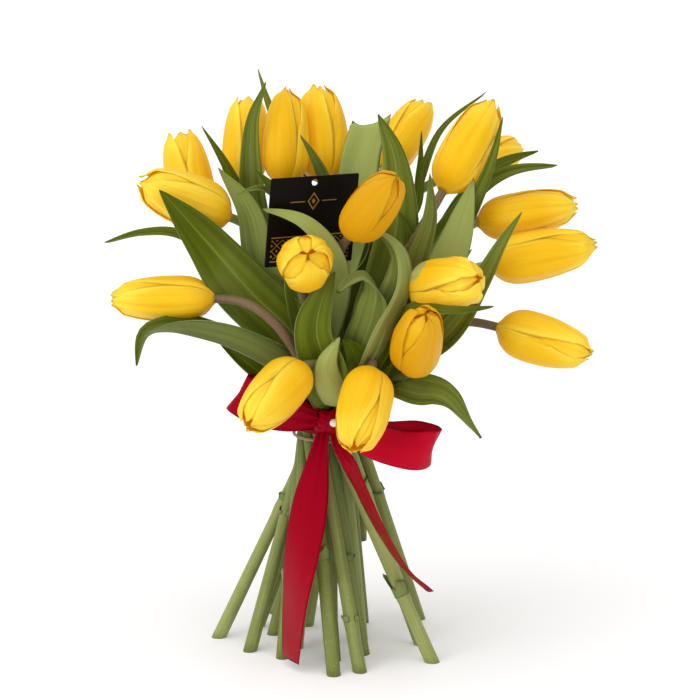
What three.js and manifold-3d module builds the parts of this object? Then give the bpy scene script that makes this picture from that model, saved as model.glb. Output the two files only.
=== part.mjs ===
// A hand-tied bunch of tulips that stands on its cut stems.
// Millimetres. The floor is z = 0 and the viewer is on the -Y side. In the tables below the middle stem
// stands at x = y = 0; the last lines move the whole bunch so that its box is centred there.
import * as THREE from "three";
import { mergeVertices } from "three/addons/utils/BufferGeometryUtils.js";
import Module from "manifold-3d";

const wasm = await Module();
wasm.setup();

// Driving dimensions
const GAP = 0.35; // clearance between pieces that touch
const WAIST_Z = 148; // height at which the stems cross
const STRAIGHT_ABOVE = 9; // the stems run straight for this far above the crossing
const SIDES = 9; // sides of a stem and of a bloom, three for each outer petal
const STEM_RADIUS = { foot: 4.2, waist: 3.45, bloom: 2.8 };
const LOWER_STEM_SHARES = [0, 0.28, 0.55, 0.78, 0.92, 1]; // from the cut to just above the tie
const UPPER_STEM_STEPS = 7; // from there to the bloom
const STEM_PULL = { atTie: 0.42, atBloom: 0.36 }; // how far each end's direction holds, as a share of the way
const RINGS = {
  centre: { radius: 0, firstAngle: 0, count: 1 },
  inner: { radius: 9.7, firstAngle: 98, count: 7 },
  outer: { radius: 17.6, firstAngle: 155, count: 13 },
};
const BLOOM_OUTLINE = [0.42, 0.82, 0.99, 1, 0.87, 0.58, 0.14]; // share of the bloom's radius, base to tip
const BLOOM_HEIGHTS = [0.02, 0.1, 0.24, 0.45, 0.7, 0.89, 1];
const PETAL_SWELL = 0.05; // how far the three outer petals stand out, as a share of the radius
const LEAF = { thickness: 1, fold: 0.32, steps: 7, seat: 2.6, tipWidth: 0.8 };
const LEAF_OUTLINE = { base: 0.12, lean: 0.85, fullness: 0.75 };
const RIBBON = { width: 25, thickness: 0.8 };
const BAND = { inner: 22.4, thickness: 0.8, bottom: 141, height: 15, bulge: 0.8 };
const STRING = { radius: 1.1, inner: 22.1, z: 137.5 };
const KNOT = { centre: [-1, -28.2, 151], radii: [9.5, 4.4, 8.5] };
const PIN = { head: 2.5, shaft: 0.4, length: 7, x: 2, z: 152 };
const CARD = { width: 58, height: 56, thickness: 0.8, corner: 1, hole: 2.1, holeFromTop: 4 };
const CARD_CENTRE = [-11, -29.5, 276];
const CARD_TURN = 26; // degrees that its right side stands further back
const CARD_LEAN = -11; // degrees that it leans back

// One tulip: its bloom from base to tip, the bloom's radius, its place in the tie and its foot on the floor.
// cut: the height at which a short stem ends. bend: how far its upper half is pushed aside to clear another.
const TULIPS = [
  { base: [-83, 28, 266], tip: [-96, 56, 319], radius: 14.5, ring: "outer", slot: 3, foot: [18, -56] },
  { base: [-61, -6, 274], tip: [-115, -32, 300], radius: 16, ring: "inner", slot: 4, foot: [19, 5] },
  { base: [-55, 28, 286], tip: [-52, 57, 341], radius: 14, ring: "inner", slot: 2, foot: [2, -35] },
  { base: [-28, 0, 292], tip: [-27, 24, 351], radius: 14, ring: "inner", slot: 3, foot: [20, -23] },
  { base: [-3, 20, 291], tip: [-9, 49, 350], radius: 16, ring: "centre", slot: 0, foot: [0, 0] },
  { base: [33, 45, 296], tip: [60, 82, 334], radius: 13.4, ring: "inner", slot: 1, foot: [-22, -11] },
  { base: [68, -10, 290], tip: [100, 15, 343], radius: 14.8, ring: "inner", slot: 6, foot: [-16, 34] },
  { base: [83, 50, 294], tip: [122, 94, 305], radius: 12.6, ring: "inner", slot: 0, foot: [-37, 16],
    bend: [-10, 0, 8] },
  { base: [90, 12, 268], tip: [154, 22, 278], radius: 14, ring: "outer", slot: 12, foot: [-51, -17],
    bend: [8, 2, -14] },
  { base: [96, -10, 245], tip: [165, -3, 257], radius: 15, ring: "outer", slot: 11, foot: [-72, 10] },
  { base: [12, -42, 269], tip: [40, -81, 311], radius: 14.4, ring: "inner", slot: 5, foot: [20, 40] },
  { base: [-16, -42, 249], tip: [-12, -99, 266], radius: 16, ring: "outer", slot: 5, foot: [57, -4],
    bend: [-5, 3, 4] },
  { base: [51, -32, 233], tip: [90, -77, 250], radius: 16, ring: "outer", slot: 9, foot: [-37, 59] },
  { base: [49, -42, 188], tip: [56, -86, 231], radius: 15, ring: "outer", slot: 8, foot: [-16, 72] },
  { base: [102, -12, 207], tip: [160, -35, 194], radius: 15, ring: "outer", slot: 10, foot: [-48, 32] },
  { base: [-69, -30, 228], tip: [-134, -26, 227], radius: 13.5, ring: "outer", slot: 4, foot: [63, -38],
    bend: [0, -24, 6] },
  { base: [-16, -50, 191], tip: [-49, -96, 165], radius: 15.5, ring: "outer", slot: 6, foot: [57, 47],
    bend: [9, -7, -5] },
  { base: [25, -52, 189], tip: [14, -99, 150], radius: 16, ring: "outer", slot: 7, foot: [18, 59], cut: 57 },
  { base: [-50, 52, 222], tip: [-78, 103, 222], radius: 15, ring: "outer", slot: 2, foot: [2, -62] },
  { base: [5, 62, 250], tip: [8, 118, 268], radius: 15, ring: "outer", slot: 1, foot: [-19, -53], cut: 45 },
  { base: [55, 58, 228], tip: [88, 106, 222], radius: 15, ring: "outer", slot: 0, foot: [-30, -30],
    bend: [0, 9, 0] },
];

// One leaf: the tulip (counted from 1) and height that it grows at, its route to the tip, its greatest width,
// the way that its upper face looks from its base to its tip, and how far it is folded if not as most are.
const LEAVES = {
  left_large: { on: 16, at: 172, fold: 0.25, width: 38, face: [[-0.3, -0.8, 0.5], [0, -0.9, 0.4]],
    route: [[-20, -19, 200], [-48, -20, 230], [-74, -31, 263], [-100, -52, 297.5]] },
  left_drooping: { on: 16, at: 158, fold: 0.95, width: 30,
    face: [[0, 0.3, 1], [0, 0.3, 1], [-0.6, -0.7, 0.3]],
    route: [[-37, -38, 187], [-57, -42, 199], [-76, -41, 206], [-98, -41, 211], [-110, -40, 208],
      [-117, -41, 189]] },
  left_narrow: { on: 1, at: 195, route: [[-62, 6, 236], [-93, 8, 260], [-116, 6, 262], [-139, 2, 257]],
    width: 12, face: [[0, -0.5, 0.85], [0, -0.6, 0.8]] },
  left_broad: { on: 2, at: 180, route: [[-30, -10, 222], [-42, -12, 250], [-50, -12, 280], [-68, -9, 305]],
    width: 26, face: [[-0.1, -1, 0.1], [0, -1, 0.2]] },
  top_left_front: { on: 3, at: 200,
    route: [[-36, 10, 240], [-46, 8, 275], [-49, 1, 310], [-47, -2, 335], [-39, 0, 356]],
    width: 19, face: [[-0.3, -0.9, 0.2], [0.3, -0.9, 0]] },
  top_left_back: { on: 3, at: 225, route: [[-21, 22, 260], [-29, 30, 312], [-40, 32, 344], [-45, 33, 361]],
    width: 11, face: [[0, -1, 0.2], [0.3, -0.9, 0]] },
  left_upright: { on: 2, at: 210, route: [[-44, 8, 254], [-57, 11, 288], [-67, 12, 308], [-79, 12, 328]],
    width: 11, face: [[-0.2, -0.9, 0.2], [0.2, -0.9, 0.2]] },
  card_front: { on: 12, at: 190, route: [[3, -36, 238], [-3, -44, 262], [-16, -47, 277], [-40, -45, 285]],
    width: 18, face: [[0.4, -0.8, 0.2], [0.1, -0.8, 0.6]] },
  card_back: { on: 5, at: 235, route: [[-3, 0, 262], [-4, -8, 296], [-10, -14, 312], [-18, -18, 326]],
    width: 12, face: [[0, -1, 0], [0.3, -0.9, 0]] },
  top_middle: { on: 5, at: 228, fold: 0.2, route: [[13, 6, 274], [15, 8, 298], [18, 10, 314], [24, 12, 334]],
    width: 27, face: [[0, -1, 0.2], [-0.2, -1, 0.2]] },
  top_right_broad: { on: 11, at: 185, fold: 0.25, width: 29, face: [[0.2, -1, 0.1], [0.1, -1, 0.2]],
    route: [[34, -10, 238], [41, -14, 282], [38, -10, 314], [29, -4, 337]] },
  right_thin: { on: 6, at: 225, route: [[50, 26, 272], [56, 29, 292], [69, 34, 323], [97, 40, 346]],
    width: 7, face: [[0, -0.9, 0.3], [-0.3, -0.8, 0.4]] },
  right_upright: { on: 7, at: 215, route: [[76, 0, 260], [90, -9, 288], [98.5, -11, 311], [105, 0, 335]],
    width: 12, face: [[0, -1, 0.2], [-0.3, -0.9, 0.1]] },
  right_light: { on: 7, at: 185, fold: 0.25, width: 29, face: [[0.1, -1, 0.2], [0.1, -1, 0.2]],
    route: [[60, -14, 220], [70, -15, 246], [79, -14, 272], [87, -11, 299]] },
  right_dark: { on: 8, at: 225, route: [[72, 22, 258], [86, 25, 280], [103, 28, 300], [129, 30, 310]],
    width: 20, face: [[-0.3, -0.8, 0.6], [-0.2, -0.6, 0.8]] },
  right_level: { on: 9, at: 215, route: [[74, 16, 262], [93, 19, 286], [112, 18, 298], [140, 16, 303]],
    width: 18, face: [[-0.3, -0.8, 0.6], [-0.2, -0.6, 0.8]] },
  middle_folded: { on: 13, at: 180, fold: 0.8, width: 24, face: [[-0.5, -0.85, 0.1], [-0.4, -0.9, 0.1]],
    route: [[49, -18, 224], [56, -23, 253], [62, -25, 279], [60, -25, 304]] },
  right_front: { on: 15, at: 170, route: [[71, -32, 206], [92, -35, 239], [103, -37, 262], [115, -34, 282]],
    width: 20, face: [[-0.3, -0.9, 0.3], [-0.5, -0.8, 0.3]] },
  right_low: { on: 14, at: 158, fold: 0.5, width: 30, face: [[0, -0.55, 0.85], [0.5, -0.6, 0.6]],
    route: [[40, -36, 173], [54, -42, 171], [64, -45, 171], [71, -46, 168], [79, -46, 160], [92, -44, 145]] },
  right_horizontal: { on: 15, at: 185, fold: 0.4, width: 11, face: [[-0.2, -0.7, 0.7], [0, -0.7, 0.7]],
    route: [[36, -32, 208], [51, -56, 227], [68, -71, 229], [83, -70, 229], [97, -60, 229]] },
  behind_low_bloom: { on: 14, at: 162, fold: 0.5, route: [[34, -26, 180], [41, -27, 200], [26, -38, 228]],
    width: 24, face: [[-0.2, -1, 0.1], [0.2, -1, 0.1]] },
  curled_large: { on: 13, at: 165, fold: 1.05, width: 42, face: [[-0.95, -0.35, 0.1], [-0.8, -0.35, -0.35]],
    route: [[33, -34, 200], [44, -42, 225], [49, -45, 245], [45, -42, 260], [34, -36, 268], [24, -31, 270]] },
  curled_small: { on: 12, at: 165, fold: 0.4, width: 26,
    face: [[-0.8, -0.4, 0.1], [-0.5, -0.6, -0.6], [-0.2, 0.3, -0.9]],
    route: [[19, -40, 202], [25, -46, 221], [27, -49, 238], [20, -51, 248], [11, -52, 245], [4, -52, 236]] },
  front_left: { on: 12, at: 158, fold: 0.3, width: 32, face: [[-0.45, -0.9, 0.1], [-0.35, -0.95, 0.2]],
    route: [[-1, -44, 188], [-8, -51, 212], [-4, -52, 233], [3, -49, 248]] },
  front_light: { on: 17, at: 156, route: [[3, -46, 172], [-2, -57, 192], [6, -59, 211]],
    width: 22, face: [[0, 1, 0], [0, 1, -0.2]] },
  front_dark: { on: 18, at: 158, fold: 0.2, route: [[16, -37, 179], [16, -44, 194], [8, -49, 208]],
    width: 24, face: [[0.2, -1, 0], [0, -1, 0.4]] },
  back_left: { on: 19, at: 175, route: [[-32, 32, 208], [-48, 48, 240], [-60, 60, 270]],
    width: 24, face: [[0.5, -0.6, 0.6], [0.4, -0.5, 0.7]] },
  back_middle: { on: 20, at: 180, route: [[-8, 34, 215], [-14, 48, 262], [-16, 56, 298]],
    width: 24, face: [[0, -1, 0.2], [0, -0.9, 0.4]] },
  back_right: { on: 21, at: 172, route: [[26, 26, 205], [42, 46, 242], [51, 62, 275]],
    width: 24, face: [[-0.4, -0.7, 0.5], [-0.3, -0.6, 0.7]] },
  back_left_low: { on: 20, at: 160, route: [[-10, 36, 176], [-22, 60, 182], [-34, 84, 160]],
    width: 18, face: [[0, 0.2, 1], [-0.2, 0.7, 0.7]] },
};

// The ribbon's free lengths: route, width at each point of it and the way across it.
const RIBBON_LENGTHS = {
  ribbon_loop_left: {
    route: [[-8, -30.5, 152], [-27, -39, 158], [-45, -40, 165], [-56, -35, 171], [-48, -27.5, 169],
      [-30, -26.5, 161], [-8, -27.2, 154]],
    widths: [11, 20, 25, 25, 25, 20, 11],
    across: [[0, 0, 1], [0.3, 0, 0.95], [0.45, 0, 0.88], [0.55, 0, 0.84], [0.5, 0, 0.87], [0.35, 0, 0.94],
      [0, 0, 1]],
  },
  ribbon_loop_right: {
    route: [[6, -30.5, 151], [24, -39, 143], [43, -43, 138], [56, -41, 136.5], [63, -35, 138.5],
      [54, -28.5, 140.5], [34, -26.5, 140], [6, -27.2, 151]],
    widths: [11, 20, 25, 24, 22, 23, 20, 11],
    across: [[0, 0, 1], [0, 0.4, 0.95], [0.08, 0.62, 0.78], [0.33, 0.3, 0.85], [0.42, 0.03, 0.9],
      [0.36, 0, 0.93], [0.1, 0, 1], [0, 0, 1]],
  },
  ribbon_tail_left: {
    route: [[-4.5, -28.5, 146], [-6, -32, 138], [-8, -36.5, 126], [-11, -40, 110], [-15, -44, 88],
      [-19.5, -47, 62], [-23, -50, 34], [-25, -51, 6]],
    widths: [8, 14, 21, 24, 25, 25, 25, 22],
    across: [[1, 0, 0], [1, 0, 0.1], [1, -0.1, 0.2], [0.95, -0.3, 0.2], [0.82, -0.55, 0.1],
      [0.66, -0.75, 0.1], [0.54, -0.84, 0.1], [0.5, -0.86, 0.1]],
  },
  ribbon_tail_right: {
    route: [[3, -28.5, 146], [4.5, -32, 138], [11, -37, 127], [18, -42, 113], [26, -45, 96], [35, -46, 79],
      [46, -45, 62], [61, -42, 47]],
    widths: [7, 9, 17, 22, 25, 24, 19, 11],
    across: [[1, 0, 0], [0.9, -0.4, 0.1], [0.5, -0.85, 0.2], [0.38, -0.9, 0.15], [0.32, -0.93, 0.12],
      [0.3, -0.93, 0.12], [0.3, -0.93, 0.15], [0.4, -0.9, 0.3]],
  },
};

const SATIN = new THREE.MeshStandardMaterial({ color: 0xb0102c, roughness: 0.35 });
const TULIP_YELLOW = new THREE.MeshStandardMaterial({ color: 0xf6c416, roughness: 0.5 });
const LEAF_GREEN = new THREE.MeshStandardMaterial({ color: 0x4f7f3c, roughness: 0.55 });
const RAFFIA = new THREE.MeshStandardMaterial({ color: 0xc2a878, roughness: 0.8 });
const PEARL = new THREE.MeshStandardMaterial({ color: 0xf1ece6, roughness: 0.2 });
const CARD_BLACK = new THREE.MeshStandardMaterial({ color: 0x141414, roughness: 0.6 });

const vector = (xyz) => new THREE.Vector3(...xyz);
const radians = THREE.MathUtils.degToRad;

// Where a stem is at a height near or below the tie: a straight line that leans round the middle, as in a
// spiral tie.
function spiralPoint(tulip, z) {
  const ring = RINGS[tulip.ring];
  if (ring.radius === 0) return new THREE.Vector3(0, 0, z);
  const [footX, footY] = tulip.foot;
  const tieAngle = radians(ring.firstAngle + (360 / ring.count) * tulip.slot);
  const turn = THREE.MathUtils.euclideanModulo(Math.atan2(footY, footX) - tieAngle, 2 * Math.PI);
  const reach = Math.sqrt(footX ** 2 + footY ** 2 - ring.radius ** 2);
  const below = 1 - z / WAIST_Z;
  const share = Math.atan((reach * below) / ring.radius) / Math.atan(reach / ring.radius);
  const radius = Math.hypot(ring.radius, reach * below);
  const angle = tieAngle + turn * share;
  return new THREE.Vector3(radius * Math.cos(angle), radius * Math.sin(angle), z);
}

// The stem's middle line from its cut to the bloom's base.
function stemPath(tulip) {
  const cut = tulip.cut ?? 0;
  const top = WAIST_Z + STRAIGHT_ABOVE;
  const lower = LOWER_STEM_SHARES.map((share) => spiralPoint(tulip, cut + (top - cut) * share));
  const start = lower.at(-1);
  const onward = start.clone().sub(spiralPoint(tulip, WAIST_Z)).normalize();
  const base = vector(tulip.base);
  const bloomWay = vector(tulip.tip).sub(base).normalize();
  const distance = start.distanceTo(base);
  const bend = vector(tulip.bend ?? [0, 0, 0]);
  const upper = new THREE.CubicBezierCurve3(
    start,
    start.clone().addScaledVector(onward, STEM_PULL.atTie * distance).add(bend),
    base.clone().addScaledVector(bloomWay, -STEM_PULL.atBloom * distance).add(bend),
    base,
  );
  return [...lower, ...upper.getPoints(UPPER_STEM_STEPS).slice(1)];
}

// The stem's radius at each point of its path: it tapers up to the tie, then on to the bloom.
function stemRadii(path) {
  const { foot, waist, bloom } = STEM_RADIUS;
  const firstUpper = LOWER_STEM_SHARES.length;
  return path.map(({ z }, i) => {
    if (z < WAIST_Z) return THREE.MathUtils.lerp(foot, waist, z / WAIST_Z);
    return THREE.MathUtils.lerp(waist, bloom, Math.max(0, i - firstUpper) / (path.length - firstUpper));
  });
}

// Directions across a path at each of its points, carried along without twisting.
function framesAlong(path) {
  const frames = [];
  let across = new THREE.Vector3(1, 0, 0);
  path.forEach((point, i) => {
    const before = path[Math.max(i - 1, 0)];
    const after = path[Math.min(i + 1, path.length - 1)];
    const along = after.clone().sub(before).normalize();
    across = across.clone().addScaledVector(along, -across.dot(along)).normalize();
    frames.push({ along, across, other: across.clone().cross(along) });
  });
  return frames;
}

// A lathe whose rings are moved onto a path: ring i has radii[i] and stands at path[i]. swell(i) pushes three
// sides of it out.
function sweep(path, radii, swell) {
  const rings = radii.map((radius, i) => new THREE.Vector2(radius, i));
  const profile = [new THREE.Vector2(0, 0), ...rings, new THREE.Vector2(0, radii.length - 1)];
  const geometry = new THREE.LatheGeometry(profile, SIDES);
  const frames = framesAlong(path);
  const position = geometry.getAttribute("position");
  for (let i = 0; i < position.count; i++) {
    const ring = Math.round(position.getY(i));
    const { across, other } = frames[ring];
    const scale = 1 + swell(ring) * Math.cos(3 * Math.atan2(position.getZ(i), position.getX(i)));
    const place = path[ring]
      .clone()
      .addScaledVector(across, position.getX(i) * scale)
      .addScaledVector(other, position.getZ(i) * scale);
    position.setXYZ(i, ...place);
  }
  return geometry;
}

// Slides the first ring along the stem onto the floor, so that the cut is level.
function cutLevel(geometry, path) {
  const position = geometry.getAttribute("position");
  const along = path[1].clone().sub(path[0]).normalize();
  for (let i = 0; i < position.count; i++) {
    const place = new THREE.Vector3().fromBufferAttribute(position, i);
    if (place.distanceTo(path[0]) > 2 * STEM_RADIUS.foot) continue;
    place.addScaledVector(along, -place.z / along.z);
    position.setXYZ(i, place.x, place.y, 0);
  }
}

// The stem and the bloom, which grew as one piece. extra makes it fatter, to cut room for it in a neighbour.
function tulipGeometry(tulip, extra = 0) {
  const stem = stemPath(tulip);
  const bloom = BLOOM_HEIGHTS.map((share) => vector(tulip.base).lerp(vector(tulip.tip), share));
  const bloomRadii = BLOOM_OUTLINE.map((share) => share * tulip.radius);
  const radii = [...stemRadii(stem), ...bloomRadii].map((radius) => radius + extra);
  const swell = (ring) => (ring < stem.length ? 0 : PETAL_SWELL);
  const geometry = sweep([...stem, ...bloom], radii, swell);
  if (tulip.cut === undefined) cutLevel(geometry, stem);
  return geometry;
}

// Splits the quads of a box's lower face along the same diagonals as those of its upper face. Otherwise the
// two faces would pass through each other where a thin strip twists.
function matchDiagonals(geometry) {
  const lowerFace = 3;
  const { start, count } = geometry.groups[lowerFace];
  const corners = geometry.getIndex().array;
  for (let i = start; i < start + count; i += 6) {
    const [a, b, d, , c] = corners.slice(i, i + 6);
    corners.set([a, b, c, a, c, d], i);
  }
}

// A long thin strip: a box bent along a curve. across(share, along) is the way over the strip, edge to edge.
function strip(route, steps, width, thickness, fold, across) {
  const curve = new THREE.CatmullRomCurve3(route, false, "centripetal");
  const geometry = new THREE.BoxGeometry(2, thickness, 1, fold ? 2 : 1, 1, steps);
  matchDiagonals(geometry);
  const position = geometry.getAttribute("position");
  for (let i = 0; i < position.count; i++) {
    const share = position.getZ(i) + 0.5;
    const along = curve.getTangentAt(share);
    const side = across(share, along);
    side.addScaledVector(along, -side.dot(along)).normalize();
    const through = along.clone().cross(side);
    const offset = (position.getX(i) * width(share)) / 2;
    const place = curve
      .getPointAt(share)
      .addScaledVector(side, offset * Math.cos(fold))
      .addScaledVector(through, position.getY(i) + Math.abs(offset) * Math.sin(fold));
    position.setXYZ(i, ...place);
  }
  return geometry;
}

// The route of a leaf, which starts at the side of its stem.
function leafRoute(leaf) {
  const stem = stemPath(TULIPS[leaf.on - 1]);
  const i = stem.findIndex((p) => p.z > leaf.at);
  const share = (leaf.at - stem[i - 1].z) / (stem[i].z - stem[i - 1].z);
  const start = stem[i - 1].clone().lerp(stem[i], share);
  const out = vector(leaf.route[0]).sub(start).setZ(0).normalize();
  return [start.addScaledVector(out, LEAF.seat), ...leaf.route.map(vector)];
}

// How wide a leaf is at a share of its length: 1 at its widest, between a narrow base and a pointed tip.
function leafOutline(share) {
  const { base, lean, fullness } = LEAF_OUTLINE;
  return Math.max(0, Math.sin(Math.PI * (base + (1 - base) * share) ** lean)) ** fullness;
}

// extra makes the leaf thicker and wider, to cut room for it in a neighbour.
function leafGeometry(leaf, extra = 0) {
  const width = (share) => Math.max(LEAF.tipWidth, leaf.width * leafOutline(share)) + extra;
  const across = (share, along) => readAt(leaf.face, share).cross(along);
  return strip(leafRoute(leaf), LEAF.steps, width, LEAF.thickness + extra, leaf.fold ?? LEAF.fold, across);
}

// Reads a list of numbers or vectors at a share of its length.
function readAt(list, share) {
  const place = share * (list.length - 1);
  const i = Math.min(Math.floor(place), list.length - 2);
  return Array.isArray(list[0])
    ? vector(list[i]).lerp(vector(list[i + 1]), place - i)
    : THREE.MathUtils.lerp(list[i], list[i + 1], place - i);
}

function ribbonGeometry({ route, widths, across }, extra = 0) {
  const steps = 2 * route.length;
  const width = (share) => readAt(widths, share) + extra;
  const acrossAt = (share) => readAt(across, share);
  return strip(route.map(vector), steps, width, RIBBON.thickness + extra, 0, acrossAt);
}

// A closed ring round the tie, from its section's corners.
function ringGeometry(corners, sides = 32) {
  const profile = corners.map(([r, z]) => new THREE.Vector2(r, z));
  return new THREE.LatheGeometry([...profile, profile[0]], sides).rotateX(Math.PI / 2);
}

function bandGeometry(extra = 0) {
  const { inner, thickness, bottom, height, bulge } = BAND;
  const [r0, r1] = [inner - extra, inner + thickness + extra];
  const [z0, z1] = [bottom - extra, bottom + height + extra];
  const middle = (z0 + z1) / 2;
  return ringGeometry([[r0, z0], [r1, z0], [r1 + bulge, middle], [r1, z1], [r0, z1], [r0 + bulge, middle]]);
}

function stringGeometry() {
  const corners = [];
  for (let i = 0; i < 6; i++) {
    const angle = (i * Math.PI) / 3;
    corners.push([
      STRING.inner + STRING.radius * (1 + Math.cos(angle)),
      STRING.z + STRING.radius * Math.sin(angle),
    ]);
  }
  return ringGeometry(corners);
}

function knotGeometry(extra = 0) {
  const radii = KNOT.radii.map((r) => r + extra);
  return new THREE.SphereGeometry(1, 14, 9).scale(...radii).translate(...KNOT.centre);
}

// The pearl and the shaft of its pin, turned round the pin's own line.
function pinGeometry(extra = 0) {
  const { head, shaft, length, x, z } = PIN;
  const steps = 6;
  const end = 2 * head + length + extra;
  const profile = [new THREE.Vector2(0, 0)];
  for (let i = 1; i < steps; i++) {
    const angle = (i * Math.PI) / steps;
    profile.push(new THREE.Vector2((head + extra) * Math.sin(angle), head * (1 - Math.cos(angle))));
  }
  profile.push(new THREE.Vector2(shaft + extra, 2 * head));
  profile.push(new THREE.Vector2(shaft + extra, end));
  profile.push(new THREE.Vector2(0, end));
  const front = KNOT.centre[1] - KNOT.radii[1] - 2 * head;
  return new THREE.LatheGeometry(profile, 2 * steps).translate(x, front, z);
}

// A plain card with rounded corners and a punched hole.
function cardGeometry(extra = 0) {
  const [w, h, r] = [CARD.width / 2 + extra, CARD.height / 2 + extra, CARD.corner];
  const shape = new THREE.Shape();
  shape.moveTo(-w + r, -h).lineTo(w - r, -h);
  shape.absarc(w - r, -h + r, r, -Math.PI / 2, 0).absarc(w - r, h - r, r, 0, Math.PI / 2);
  shape.absarc(-w + r, h - r, r, Math.PI / 2, Math.PI).absarc(-w + r, -h + r, r, Math.PI, 1.5 * Math.PI);
  const hole = new THREE.Path();
  hole.absarc(0, CARD.height / 2 - CARD.holeFromTop, CARD.hole - extra, 0, 2 * Math.PI, true);
  shape.holes.push(hole);
  const depth = CARD.thickness + 2 * extra;
  const geometry = new THREE.ExtrudeGeometry(shape, { depth, bevelEnabled: false, curveSegments: 3 });
  geometry.translate(0, 0, -depth / 2).rotateX(Math.PI / 2);
  return geometry.rotateX(radians(-CARD_LEAN)).rotateZ(radians(CARD_TURN)).translate(...CARD_CENTRE);
}

function toSolid(geometry) {
  geometry.deleteAttribute("normal");
  geometry.deleteAttribute("uv");
  const merged = mergeVertices(geometry, 1e-3);
  const vertProperties = merged.getAttribute("position").array;
  const triVerts = new Uint32Array(merged.index.array);
  return new wasm.Manifold(new wasm.Mesh({ numProp: 3, vertProperties, triVerts }));
}

function toGeometry(solid) {
  const { vertProperties, triVerts } = solid.getMesh();
  const geometry = new THREE.BufferGeometry();
  geometry.setAttribute("position", new THREE.BufferAttribute(vertProperties, 3));
  geometry.setIndex(new THREE.BufferAttribute(triVerts, 1));
  geometry.computeVertexNormals();
  return geometry;
}

// What is left of a soft piece once its neighbours have their room: the largest body of it.
function giveWay(solid, neighbours) {
  const left = neighbours.reduce((rest, neighbour) => rest.subtract(neighbour), solid);
  return left.decompose().reduce((best, body) => (body.volume() > best.volume() ? body : best));
}

const bunch = new THREE.Group();
const taken = []; // the room of the pieces so far, which the leaves give way to

function addPiece(name, solid, material) {
  const mesh = new THREE.Mesh(toGeometry(solid), material);
  mesh.name = name;
  bunch.add(mesh);
}

TULIPS.forEach((tulip, i) => {
  addPiece(`tulip_${String(i + 1).padStart(2, "0")}`, toSolid(tulipGeometry(tulip)), TULIP_YELLOW);
  taken.push(toSolid(tulipGeometry(tulip, GAP)));
});

addPiece("binding_string", toSolid(stringGeometry()), RAFFIA);
addPiece("ribbon_band", toSolid(bandGeometry()), SATIN);
addPiece("pearl_pin", toSolid(pinGeometry()), PEARL);
const bandRoom = toSolid(bandGeometry(GAP));
const knotRoom = toSolid(knotGeometry(GAP));
addPiece("ribbon_knot", giveWay(toSolid(knotGeometry()), [bandRoom, toSolid(pinGeometry(GAP))]), SATIN);
for (const [name, length] of Object.entries(RIBBON_LENGTHS)) {
  addPiece(name, giveWay(toSolid(ribbonGeometry(length)), [knotRoom, bandRoom]), SATIN);
  taken.push(toSolid(ribbonGeometry(length, 2 * GAP)));
}
addPiece("card", toSolid(cardGeometry()), CARD_BLACK);
taken.push(toSolid(cardGeometry(GAP)), bandRoom, knotRoom);

for (const [name, leaf] of Object.entries(LEAVES)) {
  addPiece(`leaf_${name}`, giveWay(toSolid(leafGeometry(leaf)), taken), LEAF_GREEN);
  taken.push(toSolid(leafGeometry(leaf, 2 * GAP)));
}

const middle = new THREE.Box3().setFromObject(bunch).getCenter(new THREE.Vector3());
bunch.position.set(-middle.x, -middle.y, 0);

export default bunch;
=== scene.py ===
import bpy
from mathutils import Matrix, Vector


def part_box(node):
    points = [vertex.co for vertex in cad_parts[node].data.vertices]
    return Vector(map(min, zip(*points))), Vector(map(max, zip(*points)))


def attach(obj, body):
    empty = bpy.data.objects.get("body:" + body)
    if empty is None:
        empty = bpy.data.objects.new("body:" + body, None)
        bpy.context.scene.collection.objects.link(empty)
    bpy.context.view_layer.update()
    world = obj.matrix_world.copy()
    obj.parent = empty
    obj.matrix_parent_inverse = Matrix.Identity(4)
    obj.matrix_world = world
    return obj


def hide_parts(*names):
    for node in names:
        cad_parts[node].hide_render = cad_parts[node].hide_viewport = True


bl_info = {
    "name": "Hand-tied tulips",
    "version": (1, 0, 0),
    "blender": (4, 5, 0),
    "location": "3D View > Sidebar > Tulips",
    "description": "Grows the petals, stems, leaves, bow and card of a bunch of tulips over its frame",
    "category": "Add Mesh",
}

import math
import random

import bmesh
import bpy
from bpy.props import FloatProperty, FloatVectorProperty, IntProperty, PointerProperty
from mathutils import Matrix, Vector, geometry, noise

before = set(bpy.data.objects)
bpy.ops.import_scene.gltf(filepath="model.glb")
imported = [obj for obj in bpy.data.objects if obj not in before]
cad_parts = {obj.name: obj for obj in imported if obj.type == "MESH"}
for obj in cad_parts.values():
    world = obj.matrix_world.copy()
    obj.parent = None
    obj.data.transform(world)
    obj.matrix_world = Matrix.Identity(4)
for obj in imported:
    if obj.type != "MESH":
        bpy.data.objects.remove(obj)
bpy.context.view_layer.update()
BAND_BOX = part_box("ribbon_band")

# The tables are in millimetres from the foot of the middle stem, which stands under the middle of the band.
MM = 0.001
TIE = Vector(((BAND_BOX[0][0] + BAND_BOX[1][0]) / 2, (BAND_BOX[0][1] + BAND_BOX[1][1]) / 2, 0))

# Stems are straight to a little above the waist, where they lie in rings: radius, first angle and count.
WAIST_Z, STRAIGHT_ABOVE = 148, 9
RINGS = {"centre": (0, 0, 1), "inner": (9.7, 98, 7), "outer": (17.6, 155, 13)}

BAND_RADIUS, BAND_Z, BAND_HALF_WIDTH = 23.6, 148.5, 7.3
STRING_RADIUS, STRING_Z, STRAND_RADIUS = 23.2, 137.5, 0.55
KNOT_MIDDLE, KNOT_RADII = (-1, -28.2, 151), (9.5, 4.4, 8.5)
PIN_X, PIN_Z, PIN_RADIUS = 2, 152, 0.4
CARD_MIDDLE, CARD_TURN, CARD_LEAN = (-11, -29.5, 276), 26, -11
CARD_THICKNESS, CARD_CORNER, HOLE_FROM_TOP = 0.8, 1, 4
CAMERA_TILT, CAMERA_DISTANCE, CAMERA_AIM_X, CAMERA_AIM_Z = 12, 1500, 12, 190
MERGE = 1e-6
SEED = 7

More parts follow.
